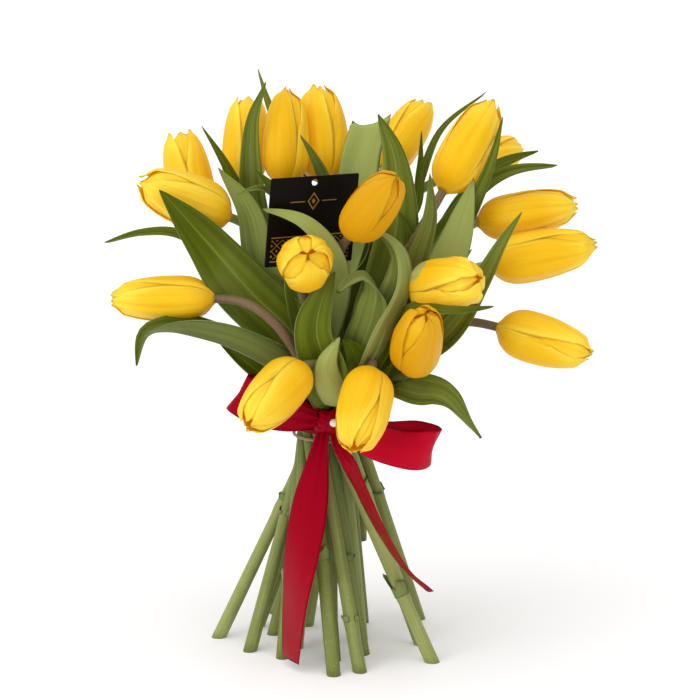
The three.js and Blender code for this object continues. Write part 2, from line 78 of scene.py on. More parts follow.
# Base, tip and radius of the bloom, then the ring and slot of the stem in the tie, and its foot.
# cut is the height that a short stem ends at, and bend pulls the stem aside above the tie.
# roll turns an outer petal away from the viewer, and open parts the petals at the tip. inside is the share of
# that which the inner petals take, aside closes the tip to one side, and ruffle waves the edges.
# tone goes from -1, orange, to 1, pale: partly a bloom's own colour, partly painted shade on blooms in shade
# and painted light on lit ones. taupe browns the stem's neck, green is the middle of a torn patch, and
# sheaths are the heights and lengths of the torn leaf bases on the stem.
TULIPS = [
    dict(base=(-83, 28, 266), tip=(-96, 56, 319), radius=14.5, ring="outer", slot=3, foot=(18, -56),
         roll=62, open=0.8, tone=0.3, sheaths=((28, 9),)),
    dict(base=(-61, -6, 274), tip=(-115, -32, 300), radius=16, ring="inner", slot=4, foot=(19, 5),
         roll=-18, open=0.2, tone=0.8),
    dict(base=(-55, 28, 286), tip=(-52, 57, 341), radius=14, ring="inner", slot=2, foot=(2, -35),
         roll=50, open=0.8, tone=0.3),
    dict(base=(-28, 0, 292), tip=(-27, 24, 351), radius=14, ring="inner", slot=3, foot=(20, -23),
         roll=-24, open=0.15, tone=-0.5, sheaths=((56, 7),)),
    dict(base=(-3, 20, 291), tip=(-9, 49, 350), radius=16, ring="centre", slot=0, foot=(0, 0),
         roll=-32, open=0.4, tone=-0.3),
    dict(base=(33, 45, 296), tip=(60, 82, 334), radius=13.4, ring="inner", slot=1, foot=(-22, -11),
         roll=20, open=0.7),
    dict(base=(68, -10, 290), tip=(100, 15, 343), radius=14.8, ring="inner", slot=6, foot=(-16, 34),
         roll=-14, open=0.45, taupe=0.8),
    dict(base=(83, 50, 294), tip=(122, 94, 305), radius=12.6, ring="inner", slot=0, foot=(-37, 16),
         bend=(-10, 0, 8), roll=30, open=0.5, tone=0.3),
    dict(base=(90, 12, 268), tip=(154, 22, 278), radius=14, ring="outer", slot=12, foot=(-51, -17),
         bend=(8, 2, -14), roll=-12, open=0.5, tone=0.2, sheaths=((82, 8),)),
    dict(base=(96, -10, 245), tip=(165, -3, 257), radius=15, ring="outer", slot=11, foot=(-72, 10),
         roll=12, open=0.25, sheaths=((86, 7),)),
    dict(base=(12, -42, 269), tip=(40, -81, 311), radius=14.4, ring="inner", slot=5, foot=(20, 40),
         roll=-20, open=0.04, tone=-1.1, taupe=0.9),
    dict(base=(-16, -42, 249), tip=(-12, -99, 266), radius=16, ring="outer", slot=5, foot=(57, -4),
         bend=(-5, 3, 4), roll=38, open=0.32, inside=0.1, aside=0.1, ruffle=0.2, taupe=0.6,
         sheaths=((104, 6),)),
    dict(base=(51, -32, 233), tip=(90, -77, 250), radius=16, ring="outer", slot=9, foot=(-37, 59),
         roll=62, open=0.15, ruffle=0.8, tone=0.3, green=(52, -49, 248)),
    dict(base=(49, -42, 188), tip=(56, -86, 231), radius=15, ring="outer", slot=8, foot=(-16, 72),
         roll=30, open=0.32, inside=0.35, ruffle=0.25, tone=-0.75, sheaths=((70, 8),)),
    dict(base=(102, -12, 207), tip=(160, -35, 194), radius=15, ring="outer", slot=10, foot=(-48, 32),
         roll=58, open=0.2, tone=0.2, taupe=1.0),
    dict(base=(-69, -30, 228), tip=(-134, -26, 227), radius=13.5, ring="outer", slot=4, foot=(63, -38),
         bend=(0, -24, 6), roll=-20, open=0.5, tone=0.3, taupe=1.0, sheaths=((42, 16),)),
    dict(base=(-16, -50, 191), tip=(-49, -96, 165), radius=15.5, ring="outer", slot=6, foot=(57, 47),
         bend=(9, -7, -5), roll=-28, open=0.35, tone=0.6, taupe=0.5, sheaths=((95, 6),)),
    dict(base=(25, -52, 189), tip=(14, -99, 150), radius=16, ring="outer", slot=7, foot=(18, 59),
         cut=57, roll=28, open=0.3, tone=0.3, taupe=0.7),
    dict(base=(-50, 52, 222), tip=(-78, 103, 222), radius=15, ring="outer", slot=2, foot=(2, -62),
         roll=10, open=0.2, sheaths=((62, 9),)),
    dict(base=(5, 62, 250), tip=(8, 118, 268), radius=15, ring="outer", slot=1, foot=(-19, -53),
         cut=45, roll=40, open=0.3),
    dict(base=(55, 58, 228), tip=(88, 106, 222), radius=15, ring="outer", slot=0, foot=(-30, -30),
         bend=(0, 9, 0), roll=15, open=0.2, sheaths=((48, 8),)),
]

# on and at are the tulip and the height that a leaf grows at, and face is the way its upper face looks, from
# base to tip. fold is how far the sides fold up, in radians, lean makes one side wider, wave is the waving of
# the edges, and torn is how deep a torn tip is cut. tone goes from -1, dark, to 1, pale yellow-green: partly
# a leaf's own colour, partly painted shade on leaves deep in the bunch and painted light on the brightest
# ones.
LEAVES = {
    "left_large": dict(
        on=16, at=172, width=38, fold=0.25, lean=0.12, wave=0.07, tone=0.1,
        route=[(-20, -19, 200), (-48, -20, 230), (-74, -31, 263), (-100, -52, 297.5)],
        face=[(-0.3, -0.8, 0.5), (0, -0.9, 0.4)]),
    "left_drooping": dict(
        on=16, at=158, width=30, fold=0.95, wave=0.08, tone=-0.05,
        route=[(-37, -38, 187), (-57, -42, 199), (-76, -41, 206), (-98, -41, 211), (-110, -40, 208),
               (-117, -41, 189)],
        face=[(0, 0.3, 1), (0, 0.3, 1), (-0.6, -0.7, 0.3)]),
    "left_narrow": dict(
        on=1, at=195, width=12, tone=0.2,
        route=[(-62, 6, 236), (-93, 8, 260), (-116, 6, 262), (-139, 2, 257)],
        face=[(0, -0.5, 0.85), (0, -0.6, 0.8)]),
    "left_broad": dict(
        on=2, at=180, width=26, tone=0.6,
        route=[(-30, -10, 222), (-42, -12, 250), (-50, -12, 280), (-68, -9, 305)],
        face=[(-0.1, -1, 0.1), (0, -1, 0.2)]),
    "top_left_front": dict(
        on=3, at=200, width=19, tone=0.35,
        route=[(-36, 10, 240), (-46, 8, 275), (-49, 1, 310), (-47, -2, 335), (-39, 0, 356)],
        face=[(-0.3, -0.9, 0.2), (0.3, -0.9, 0)]),
    "top_left_back": dict(
        on=3, at=225, width=11, tone=0.5,
        route=[(-21, 22, 260), (-29, 30, 312), (-40, 32, 344), (-45, 33, 361)],
        face=[(0, -1, 0.2), (0.3, -0.9, 0)]),
    "left_upright": dict(
        on=2, at=210, width=11, tone=0.15,
        route=[(-44, 8, 254), (-57, 11, 288), (-67, 12, 308), (-79, 12, 328)],
        face=[(-0.2, -0.9, 0.2), (0.2, -0.9, 0.2)]),
    "card_front": dict(
        on=12, at=190, width=18, tone=0.9,
        route=[(3, -36, 238), (-3, -44, 262), (-16, -47, 277), (-40, -45, 285)],
        face=[(0.4, -0.8, 0.2), (0.1, -0.8, 0.6)]),
    "card_back": dict(
        on=5, at=235, width=12, tone=0.35,
        route=[(-3, 0, 262), (-4, -8, 296), (-10, -14, 312), (-18, -18, 326)],
        face=[(0, -1, 0), (0.3, -0.9, 0)]),
    "top_middle": dict(
        on=5, at=228, width=27, fold=0.2, lean=-0.2, wave=0.09, torn=0.05, tone=1.0,
        route=[(13, 6, 274), (15, 8, 298), (18, 10, 314), (24, 12, 334)],
        face=[(0, -1, 0.2), (-0.2, -1, 0.2)]),
    "top_right_broad": dict(
        on=11, at=185, width=29, fold=0.25, tone=0.3,
        route=[(34, -10, 238), (41, -14, 282), (38, -10, 314), (29, -4, 337)],
        face=[(0.2, -1, 0.1), (0.1, -1, 0.2)]),
    "right_thin": dict(
        on=6, at=225, width=7, tone=0.2,
        route=[(50, 26, 272), (56, 29, 292), (69, 34, 323), (97, 40, 346)],
        face=[(0, -0.9, 0.3), (-0.3, -0.8, 0.4)]),
    "right_upright": dict(
        on=7, at=215, width=12, tone=0.25,
        route=[(76, 0, 260), (90, -9, 288), (98.5, -11, 311), (105, 0, 335)],
        face=[(0, -1, 0.2), (-0.3, -0.9, 0.1)]),
    "right_light": dict(
        on=7, at=185, width=29, fold=0.25, tone=0.9,
        route=[(60, -14, 220), (70, -15, 246), (79, -14, 272), (87, -11, 299)],
        face=[(0.1, -1, 0.2), (0.1, -1, 0.2)]),
    "right_dark": dict(
        on=8, at=225, width=20, tone=0,
        route=[(72, 22, 258), (86, 25, 280), (103, 28, 300), (129, 30, 310)],
        face=[(-0.3, -0.8, 0.6), (-0.2, -0.6, 0.8)]),
    "right_level": dict(
        on=9, at=215, width=18, tone=0.25,
        route=[(74, 16, 262), (93, 19, 286), (112, 18, 298), (140, 16, 303)],
        face=[(-0.3, -0.8, 0.6), (-0.2, -0.6, 0.8)]),
    "middle_folded": dict(
        on=13, at=180, width=24, fold=0.8, tone=0.5,
        route=[(49, -18, 224), (56, -23, 253), (62, -25, 279), (60, -25, 304)],
        face=[(-0.5, -0.85, 0.1), (-0.4, -0.9, 0.1)]),
    "right_front": dict(
        on=15, at=170, width=20, tone=0.35,
        route=[(71, -32, 206), (92, -35, 239), (103, -37, 262), (115, -34, 282)],
        face=[(-0.3, -0.9, 0.3), (-0.5, -0.8, 0.3)]),
    "right_low": dict(
        on=14, at=158, width=30, fold=0.5, wave=0.12, tone=0.35,
        route=[(40, -36, 173), (54, -42, 171), (64, -45, 171), (71, -46, 168), (79, -46, 160),
               (92, -44, 145)],
        face=[(0, -0.55, 0.85), (0.5, -0.6, 0.6)]),
    "right_horizontal": dict(
        on=15, at=185, width=11, fold=0.4, tone=0,
        route=[(36, -32, 208), (51, -56, 227), (68, -71, 229), (83, -70, 229), (97, -60, 229)],
        face=[(-0.2, -0.7, 0.7), (0, -0.7, 0.7)]),
    "behind_low_bloom": dict(
        on=14, at=162, width=24, fold=0.5, tone=0.15,
        route=[(34, -26, 180), (41, -27, 200), (26, -38, 228)], face=[(-0.2, -1, 0.1), (0.2, -1, 0.1)]),
    "curled_large": dict(
        on=13, at=165, width=42, fold=1.05, tone=0.65,
        route=[(33, -34, 200), (44, -42, 225), (49, -45, 245), (45, -42, 260), (34, -36, 268),
               (24, -31, 270)],
        face=[(-0.95, -0.35, 0.1), (-0.8, -0.35, -0.35)]),
    "curled_small": dict(
        on=12, at=165, width=26, fold=0.4, tone=0.5,
        route=[(19, -40, 202), (25, -46, 221), (27, -49, 238), (20, -51, 248), (11, -52, 245), (4, -52, 236)],
        face=[(-0.8, -0.4, 0.1), (-0.5, -0.6, -0.6), (-0.2, 0.3, -0.9)]),
    "front_left": dict(
        on=12, at=158, width=32, fold=0.3, tone=-0.1,
        route=[(-1, -44, 188), (-8, -51, 212), (-4, -52, 233), (3, -49, 248)],
        face=[(-0.45, -0.9, 0.1), (-0.35, -0.95, 0.2)]),
    "front_light": dict(
        on=17, at=156, width=22, tone=0.9,
        route=[(3, -46, 172), (-2, -57, 192), (6, -59, 211)], face=[(0, 1, 0), (0, 1, -0.2)]),
    "front_dark": dict(
        on=18, at=158, width=24, fold=0.2, tone=0,
        route=[(16, -37, 179), (16, -44, 194), (8, -49, 208)], face=[(0.2, -1, 0), (0, -1, 0.4)]),
    "back_left": dict(
        on=19, at=175, width=24, tone=0.1,
        route=[(-32, 32, 208), (-48, 48, 240), (-60, 60, 270)], face=[(0.5, -0.6, 0.6), (0.4, -0.5, 0.7)]),
    "back_middle": dict(
        on=20, at=180, width=24, tone=0.2,
        route=[(-8, 34, 215), (-14, 48, 262), (-16, 56, 298)], face=[(0, -1, 0.2), (0, -0.9, 0.4)]),
    "back_right": dict(
        on=21, at=172, width=24, tone=0,
        route=[(26, 26, 205), (42, 46, 242), (51, 62, 275)], face=[(-0.4, -0.7, 0.5), (-0.3, -0.6, 0.7)]),
    "back_left_low": dict(
        on=20, at=160, width=18, tone=0.3,
        route=[(-10, 36, 176), (-22, 60, 182), (-34, 84, 160)], face=[(0, 0.2, 1), (-0.2, 0.7, 0.7)]),
}

# Small leaves that the frame does without. The low tones of the dark ones are painted shade in the gaps deep
# in the bunch.
EXTRA_LEAVES = {
    "narrow_dark": dict(
        on=6, at=232, width=9, tone=-0.3,
        route=[(51, 10, 276), (55, 14, 300), (56, 16, 324)], face=[(0, -1, 0.2), (0, -1, 0.2)]),
    "low_left": dict(
        on=17, at=152, width=18, tone=-0.25,
        route=[(-19, -20, 163), (-49, -26, 186), (-73, -24, 206)], face=[(-0.3, -0.8, 0.5), (0, -0.8, 0.6)]),
    "between": dict(
        on=13, at=172, width=15, tone=-0.4,
        route=[(37, -12, 211), (46, -16, 240), (50, -18, 262), (42, -16, 279)],
        face=[(0.2, -1, 0.1), (0, -1, 0.2)]),
    "back_right_high": dict(
        on=9, at=190, width=16, tone=0.1,
        route=[(60, 30, 212), (82, 48, 226), (100, 62, 232)], face=[(-0.3, 0, 1), (0.2, 0.2, 0.9)]),
    "back_right_low": dict(
        on=21, at=158, width=18, tone=0.2,
        route=[(22, 30, 172), (40, 58, 178), (48, 70, 166)], face=[(0, 0.2, 1), (0.2, 0.7, 0.7)]),
    "behind_card": dict(
        on=4, at=228, width=14, tone=0,
        route=[(-20, -10, 262), (-32, -20, 290), (-45, -24, 306)], face=[(-0.2, -1, 0.2), (-0.2, -0.8, 0.6)]),
    "beside_card": dict(
        on=4, at=232, width=10, fold=0.7, tone=0.45,
        route=[(-30, -8, 272), (-33, -16, 287), (-41, -21, 293.5), (-48, -24, 293.5), (-56, -25, 291)],
        face=[(-0.5, -0.7, -0.5), (0, -0.6, 0.8)]),
    "low_right": dict(
        on=10, at=190, width=14, tone=-0.15,
        route=[(60, -16, 226), (78, -16, 246), (86, -16, 256)], face=[(0, -1, 0.2), (-0.2, -1, 0.2)]),
    "top_tip": dict(
        on=5, at=240, width=9, tone=0.5,
        route=[(9, 14, 276), (13, 16, 306), (12, 18, 328)], face=[(0, -1, 0.1), (0.2, -1, 0.1)]),
    "behind_top": dict(
        on=11, at=200, width=12, tone=-0.4,
        route=[(26, 0, 256), (30, 4, 284), (23, 8, 311)], face=[(0, -1, 0.2), (0.2, -1, 0.2)]),
    "dark_middle": dict(
        on=12, at=172, width=22, tone=-0.6,
        route=[(-12, -18, 206), (-20, -18, 236), (-24, -17, 262)], face=[(0, -1, 0.2), (-0.2, -1, 0.2)]),
    "dark_right": dict(
        on=15, at=168, width=20, tone=-0.55,
        route=[(30, -24, 190), (48, -26, 206), (66, -26, 218)], face=[(0, -0.8, 0.5), (0, -0.8, 0.5)]),
}

# Route of each free length of the ribbon, its width there, and the way across it.
RIBBON_LENGTHS = {
    "ribbon_loop_left": (
        [(-8, -30.5, 152), (-27, -39, 158), (-45, -40, 165), (-56, -35, 171), (-48, -27.5, 169),
         (-30, -26.5, 161), (-8, -27.2, 154)],
        [11, 20, 25, 25, 25, 20, 11],
        [(0, 0, 1), (0.3, 0, 0.95), (0.45, 0, 0.88), (0.55, 0, 0.84), (0.5, 0, 0.87),
         (0.35, 0, 0.94), (0, 0, 1)],
    ),
    "ribbon_loop_right": (
        [(6, -30.5, 151), (24, -39, 143), (43, -43, 138), (56, -41, 136.5), (63, -35, 138.5),
         (54, -28.5, 140.5), (34, -26.5, 140), (6, -27.2, 151)],
        [11, 20, 25, 24, 22, 23, 20, 11],
        [(0, 0, 1), (0, 0.4, 0.95), (0.08, 0.62, 0.78), (0.33, 0.3, 0.85), (0.42, 0.03, 0.9),
         (0.36, 0, 0.93), (0.1, 0, 1), (0, 0, 1)],
    ),
    "ribbon_tail_left": (
        [(-4.5, -28.5, 146), (-6, -32, 138), (-8, -36.5, 126), (-11, -40, 110), (-15, -44, 88),
         (-19.5, -47, 62), (-23, -50, 34), (-25, -51, 6)],
        [8, 14, 21, 24, 25, 25, 25, 22],
        [(1, 0, 0), (1, 0, 0.1), (1, -0.1, 0.2), (0.95, -0.3, 0.2), (0.82, -0.55, 0.1),
         (0.66, -0.75, 0.1), (0.54, -0.84, 0.1), (0.5, -0.86, 0.1)],
    ),
    "ribbon_tail_right": (
        [(3, -28.5, 146), (4.5, -32, 138), (11, -37, 127), (18, -42, 113), (26, -45, 96),
         (35, -46, 79), (46, -45, 62), (61, -42, 47)],
        [7, 9, 17, 22, 25, 24, 19, 11],
        [(1, 0, 0), (0.9, -0.4, 0.1), (0.5, -0.85, 0.2), (0.38, -0.9, 0.15), (0.32, -0.93, 0.12),
         (0.3, -0.93, 0.12), (0.3, -0.93, 0.15), (0.4, -0.9, 0.3)],
    ),
}


class BloomSettings(bpy.types.PropertyGroup):
    petal: FloatVectorProperty(
        name="Petal", description="Colour of a petal", subtype="COLOR", default=(0.78, 0.47, 0.008))
    # The petal edge colour is a painted highlight: the lit colour, painted towards a petal's edges and tips.
    edge: FloatVectorProperty(
        name="Petal edge", description="Colour towards a petal's edge and tip", subtype="COLOR",
        default=(0.89, 0.68, 0.065))
    # The crease colour is painted shade at the foot and down the middle groove of a petal, and also the
    # colour of its streaks.
    crease: FloatVectorProperty(
        name="Petal crease", description="Colour of the streaks and the foot of a petal", subtype="COLOR",
        default=(0.7, 0.31, 0.0015))
    thickness: FloatProperty(
        name="Petal thickness", description="Thickness of a petal at its middle", unit="LENGTH",
        default=0.0006)
    columns: IntProperty(name="Columns", description="Faces across a petal", default=16, min=6)
    rows: IntProperty(name="Rows", description="Faces along a petal", default=30, min=8)


class StemSettings(bpy.types.PropertyGroup):
    foot: FloatProperty(
        name="Foot radius", description="Radius of a stem at the floor", unit="LENGTH", default=0.0042)
    waist: FloatProperty(
        name="Tie radius", description="Radius of a stem in the tie", unit="LENGTH", default=0.00345)
    neck: FloatProperty(
        name="Neck radius", description="Radius of a stem under its bloom", unit="LENGTH", default=0.0028)
    green: FloatVectorProperty(
        name="Stem green", description="Colour of a stem", subtype="COLOR", default=(0.165, 0.195, 0.045))
    pale: FloatVectorProperty(
        name="Pale green", description="Colour of a stem's pale streaks", subtype="COLOR",
        default=(0.33, 0.36, 0.12))
    taupe: FloatVectorProperty(
        name="Neck brown", description="Colour of a stem's browned neck", subtype="COLOR",
        default=(0.17, 0.105, 0.06))
    sheath: FloatVectorProperty(
        name="Sheath", description="Colour of the torn leaf bases on a stem", subtype="COLOR",
        default=(0.3, 0.27, 0.13))
    sides: IntProperty(name="Sides", description="Faces round a stem", default=16, min=8)


class LeafSettings(bpy.types.PropertyGroup):
    upper: FloatVectorProperty(
        name="Upper face", description="Colour of a leaf's upper face", subtype="COLOR",
        default=(0.105, 0.14, 0.006))
    under: FloatVectorProperty(
        name="Underside", description="Colour of a leaf's underside", subtype="COLOR",
        default=(0.11, 0.135, 0.035))
    # Light green is the colour of the midribs and of the palest leaves, whose paleness is partly painted
    # light.
    light: FloatVectorProperty(
        name="Light green", description="Colour of the palest leaves", subtype="COLOR",
        default=(0.42, 0.48, 0.14))
    edge: FloatVectorProperty(
        name="Leaf edge", description="Colour of a leaf's thin edge", subtype="COLOR",
        default=(0.36, 0.46, 0.15))
    thickness: FloatProperty(
        name="Leaf thickness", description="Thickness of a leaf at its midrib", unit="LENGTH", default=0.0008)
    columns: IntProperty(name="Columns", description="Faces across a leaf", default=11, min=6)
    rows: IntProperty(name="Rows", description="Faces along a leaf", default=44, min=8)


class RibbonSettings(bpy.types.PropertyGroup):
    satin: FloatVectorProperty(
        name="Satin", description="Colour of the ribbon", subtype="COLOR", default=(0.34, 0.0002, 0.01))
    # Bright satin is a painted highlight: the lit colour, painted on the right loop.
    painted_highlight: FloatVectorProperty(
        name="Bright satin", description="Colour of the ribbon where it turns to the light", subtype="COLOR",
        default=(0.74, 0.006, 0.035))
    width: FloatProperty(
        name="Ribbon width", description="Width that the ribbon is sold in", unit="LENGTH", default=0.025)
    thickness: FloatProperty(
        name="Ribbon thickness", description="Thickness of the satin", unit="LENGTH", default=0.0004)
    raffia: FloatVectorProperty(
        name="Raffia", description="Colour of the string", subtype="COLOR", default=(0.5, 0.38, 0.2))
    pearl: FloatProperty(
        name="Pearl radius", description="Radius of the pin's pearl", unit="LENGTH", default=0.0025)


class CardSettings(bpy.types.PropertyGroup):
    width: FloatProperty(name="Card width", description="Width of the card", unit="LENGTH", default=0.058)
    height: FloatProperty(name="Card height", description="Height of the card", unit="LENGTH", default=0.056)
    hole: FloatProperty(
        name="Hole radius", description="Radius of the punched hole", unit="LENGTH", default=0.0021)
    gold: FloatVectorProperty(
        name="Gold", description="Colour of the printed gold", subtype="COLOR", default=(0.42, 0.27, 0.06))


class StageSettings(bpy.types.PropertyGroup):
    floor: FloatVectorProperty(
        name="Floor", description="Colour of the floor", subtype="COLOR", default=(0.95, 0.95, 0.965))
    glow: FloatProperty(
        name="Floor glow", description="Strength of the light through the lit floor", default=0.11)
    daylight: FloatProperty(
        name="Room light", description="Strength of the light from all round", default=0.6)
    softbox: FloatProperty(
        name="Softbox", description="Strength of the large light overhead", default=1.2)
    lens: FloatProperty(
        name="Lens", description="Focal length of the camera in millimetres", default=124.4)


# Curves


def at(point):
    """A table's point, in metres in the frame."""
    return Vector(point) * MM + TIE


def mix(a, b, share):
    return a + (b - a) * share


def smooth_step(low, high, value):
    share = min(max((value - low) / (high - low), 0), 1)
    return share * share * (3 - 2 * share)


def read_at(values, share):
    """A list of numbers or vectors, read smoothly at a share of its length."""
    place = min(max(share, 0), 1) * (len(values) - 1)
    i = min(int(place), len(values) - 2)
    a, b = values[i], values[i + 1]
    before = values[i - 1] if i else a
    after = values[i + 2] if i + 2 < len(values) else b
    t = place - i
    return a + ((b - before) * 0.5 + ((before * 2 - a * 5 + b * 4 - after)
                + (a * 3 - before - b * 3 + after) * t) * 0.5 * t) * t


class Route:
    """A smooth curve through points, read by shares of its length."""

    STEPS = 16

    def __init__(self, points):
        ends = [points[0] * 2 - points[1], *points, points[-1] * 2 - points[-2]]
        self.points = [points[0]]
        for a, b, c, d in zip(ends, ends[1:], ends[2:], ends[3:]):
            first, middle, last = ((q - p).length ** 0.5 for p, q in ((a, b), (b, c), (c, d)))
            leave = (b - a) / first - (c - a) / (first + middle) + (c - b) / middle
            reach = (c - b) / middle - (d - b) / (middle + last) + (d - c) / last
            handles = b + leave * middle / 3, c - reach * middle / 3
            self.points += geometry.interpolate_bezier(b, *handles, c, self.STEPS + 1)[1:]
        self.lengths = [0]
        for p, q in zip(self.points, self.points[1:]):
            self.lengths.append(self.lengths[-1] + (q - p).length)

    def at(self, share):
        goal = min(max(share, 0), 1) * self.lengths[-1]
        i = next(i for i, length in enumerate(self.lengths[1:]) if length >= goal - 1e-9)
        part = (goal - self.lengths[i]) / (self.lengths[i + 1] - self.lengths[i])
        return self.points[i].lerp(self.points[i + 1], part)

    def along(self, share):
        step = 0.01
        return (self.at(min(share + step, 1)) - self.at(max(share - step, 0))).normalized()


def spiral_point(tulip, z):
    """Where a stem is near or below the tie: a straight line that leans round the middle."""
    radius, first, count = RINGS[tulip["ring"]]
    if radius == 0:
        return Vector((0, 0, z))
    x, y = tulip["foot"]
    tie_angle = math.radians(first + 360 / count * tulip["slot"])
    turn = (math.atan2(y, x) - tie_angle) % (2 * math.pi)
    reach = math.sqrt(x * x + y * y - radius * radius)
    below = 1 - z / WAIST_Z
    angle = tie_angle + turn * math.atan(reach * below / radius) / math.atan(reach / radius)
    out = math.hypot(radius, reach * below)
    return Vector((out * math.cos(angle), out * math.sin(angle), z))


STRAIGHT_STEPS, BENT_STEPS = 26, 30


def stem_line(tulip):
    """The stem's middle line from its cut to the bloom, in the table's millimetres."""
    cut, top = tulip.get("cut", 0), WAIST_Z + STRAIGHT_ABOVE
    heights = [mix(cut, top, i / STRAIGHT_STEPS) for i in range(STRAIGHT_STEPS + 1)]
    lower = [spiral_point(tulip, height) for height in heights]
    start, base = lower[-1], Vector(tulip["base"])
    onward = (start - spiral_point(tulip, WAIST_Z)).normalized()
    bloom_way = (Vector(tulip["tip"]) - base).normalized()
    distance = (base - start).length
    bend = Vector(tulip.get("bend", (0, 0, 0)))
    handles = start + onward * 0.42 * distance + bend, base - bloom_way * 0.36 * distance + bend
    upper = geometry.interpolate_bezier(start, *handles, base, BENT_STEPS + 1)
    return lower + upper[1:]


def frames_along(line, across):
    """At each point of a line: the way on and two ways across, carried along without twisting."""
    frames = []
    for i in range(len(line)):
        forward = (line[min(i + 1, len(line) - 1)] - line[max(i - 1, 0)]).normalized()
        across = (across - forward * across.dot(forward)).normalized()
        frames.append((forward, across, across.cross(forward)))
    return frames


# Sheets and tubes


def new_mesh(*maps):
    """An empty mesh with a UV map and the named maps, which hold one number at each point."""
    bm = bmesh.new()
    bm.loops.layers.uv.new("UVMap")
    for name in maps:
        bm.verts.layers.float.new(name)
    return bm


def paint(bm, faces, name, value):
    """Sets a map at the points of some faces."""
    layer = bm.verts.layers.float[name]
    for face in faces:
        for vert in face.verts:
            vert[layer] = value


def close_up(bm, verts):
    """Joins the seams of one closed piece and turns its faces outwards."""
    faces = {face for vert in verts for face in vert.link_faces}
    bmesh.ops.remove_doubles(bm, verts=verts, dist=MERGE)
    faces = [face for face in faces if face.is_valid]
    bmesh.ops.recalc_face_normals(bm, faces=faces)
    return faces


def add_sheet(bm, columns, rows, surface, thickness, finishes=(0, 0), closed=False):
    """A thin closed sheet: a grid wrapped round its two long edges.

    surface(across, along) gives a point of its front and the way that the front faces. across runs from -1 to
    1 and along from 0 to 1. finishes are the material places of its front and its back.
    """
    segments = {"x_segments": 2 * columns, "y_segments": rows}
    grid = bmesh.ops.create_grid(bm, **segments, size=1, calc_uvs=True)["verts"]
    for face in {face for vert in grid for face in vert.link_faces}:
        face.material_index = finishes[0] if face.calc_center_median().x < 0 else finishes[1]
    for vert in grid:
        turn, along = vert.co.x, (vert.co.y + 1) / 2
        across = 2 * turn + 1 if turn <= 0 else 1 - 2 * turn
        point, outward = surface(across, along)
        body = 1 - abs(across) ** 3
        if not closed:
            body *= min(1, along * rows, (1 - along) * rows)
        depth = thickness * body if turn > 0 else 0
        vert.co = point - outward * depth
    return close_up(bm, grid)


def add_tube(bm, line, radii, sides, bumps=None, start=Vector((1, 0, 0))):
    """A round bar along a line of points, closed at both ends. bumps(row, angle) scales its radius."""
    line = [line[0], *line, line[-1]]
    radii = [0, *radii, 0]
    rows = len(line) - 1
    ways = frames_along(line[1:-1], start)
    ways = [ways[0], *ways, ways[-1]]
    grid = bmesh.ops.create_grid(bm, x_segments=sides, y_segments=rows, size=1, calc_uvs=True)["verts"]
    for vert in grid:
        angle, row = math.pi * vert.co.x, round((vert.co.y + 1) / 2 * rows)
        scale = bumps(row, angle) if bumps else 1
        _, across, other = ways[row]
        vert.co = line[row] + (across * math.cos(angle) + other * math.sin(angle)) * radii[row] * scale
    close_up(bm, grid)
    return [vert for vert in grid if vert.is_valid]


def finish_piece(bm, name, finishes, replaces=()):
    """Makes the mesh a piece that rides on the bunch."""
    for face in bm.faces:
        face.smooth = True
    mesh = bpy.data.meshes.new(name)
    bm.to_mesh(mesh)
    bm.free()
    for finish in finishes:
        mesh.materials.append(finish)
    piece = bpy.data.objects.new(name, mesh)
    bpy.context.scene.collection.objects.link(piece)
    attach(piece, "root")
    if replaces:
        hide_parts(*replaces)
    return piece


# Finishes


class Wire:
    """A socket of a finish. Arithmetic on it adds Math nodes."""

    def __init__(self, finish, socket):
        self.finish, self.socket = finish, socket

    def math(self, operation, *values):
        return self.finish.math(operation, self, *values)

    def __add__(self, other):
        return self.math("ADD", other)

    def __sub__(self, other):
        return self.math("SUBTRACT", other)

    def __rsub__(self, other):
        return self.finish.math("SUBTRACT", other, self)

    def __mul__(self, other):
        return self.math("MULTIPLY", other)

    def __abs__(self):
        return self.math("ABSOLUTE")

    __radd__, __rmul__ = __add__, __mul__

    def sine(self):
        return self.math("SINE")

    def fade(self, low, high):
        """0 up to low, 1 from high, smooth between."""
        values = {"Value": self, "From Min": low, "From Max": high}
        return self.finish.node("ShaderNodeMapRange", {"interpolation_type": "SMOOTHSTEP"}, values)


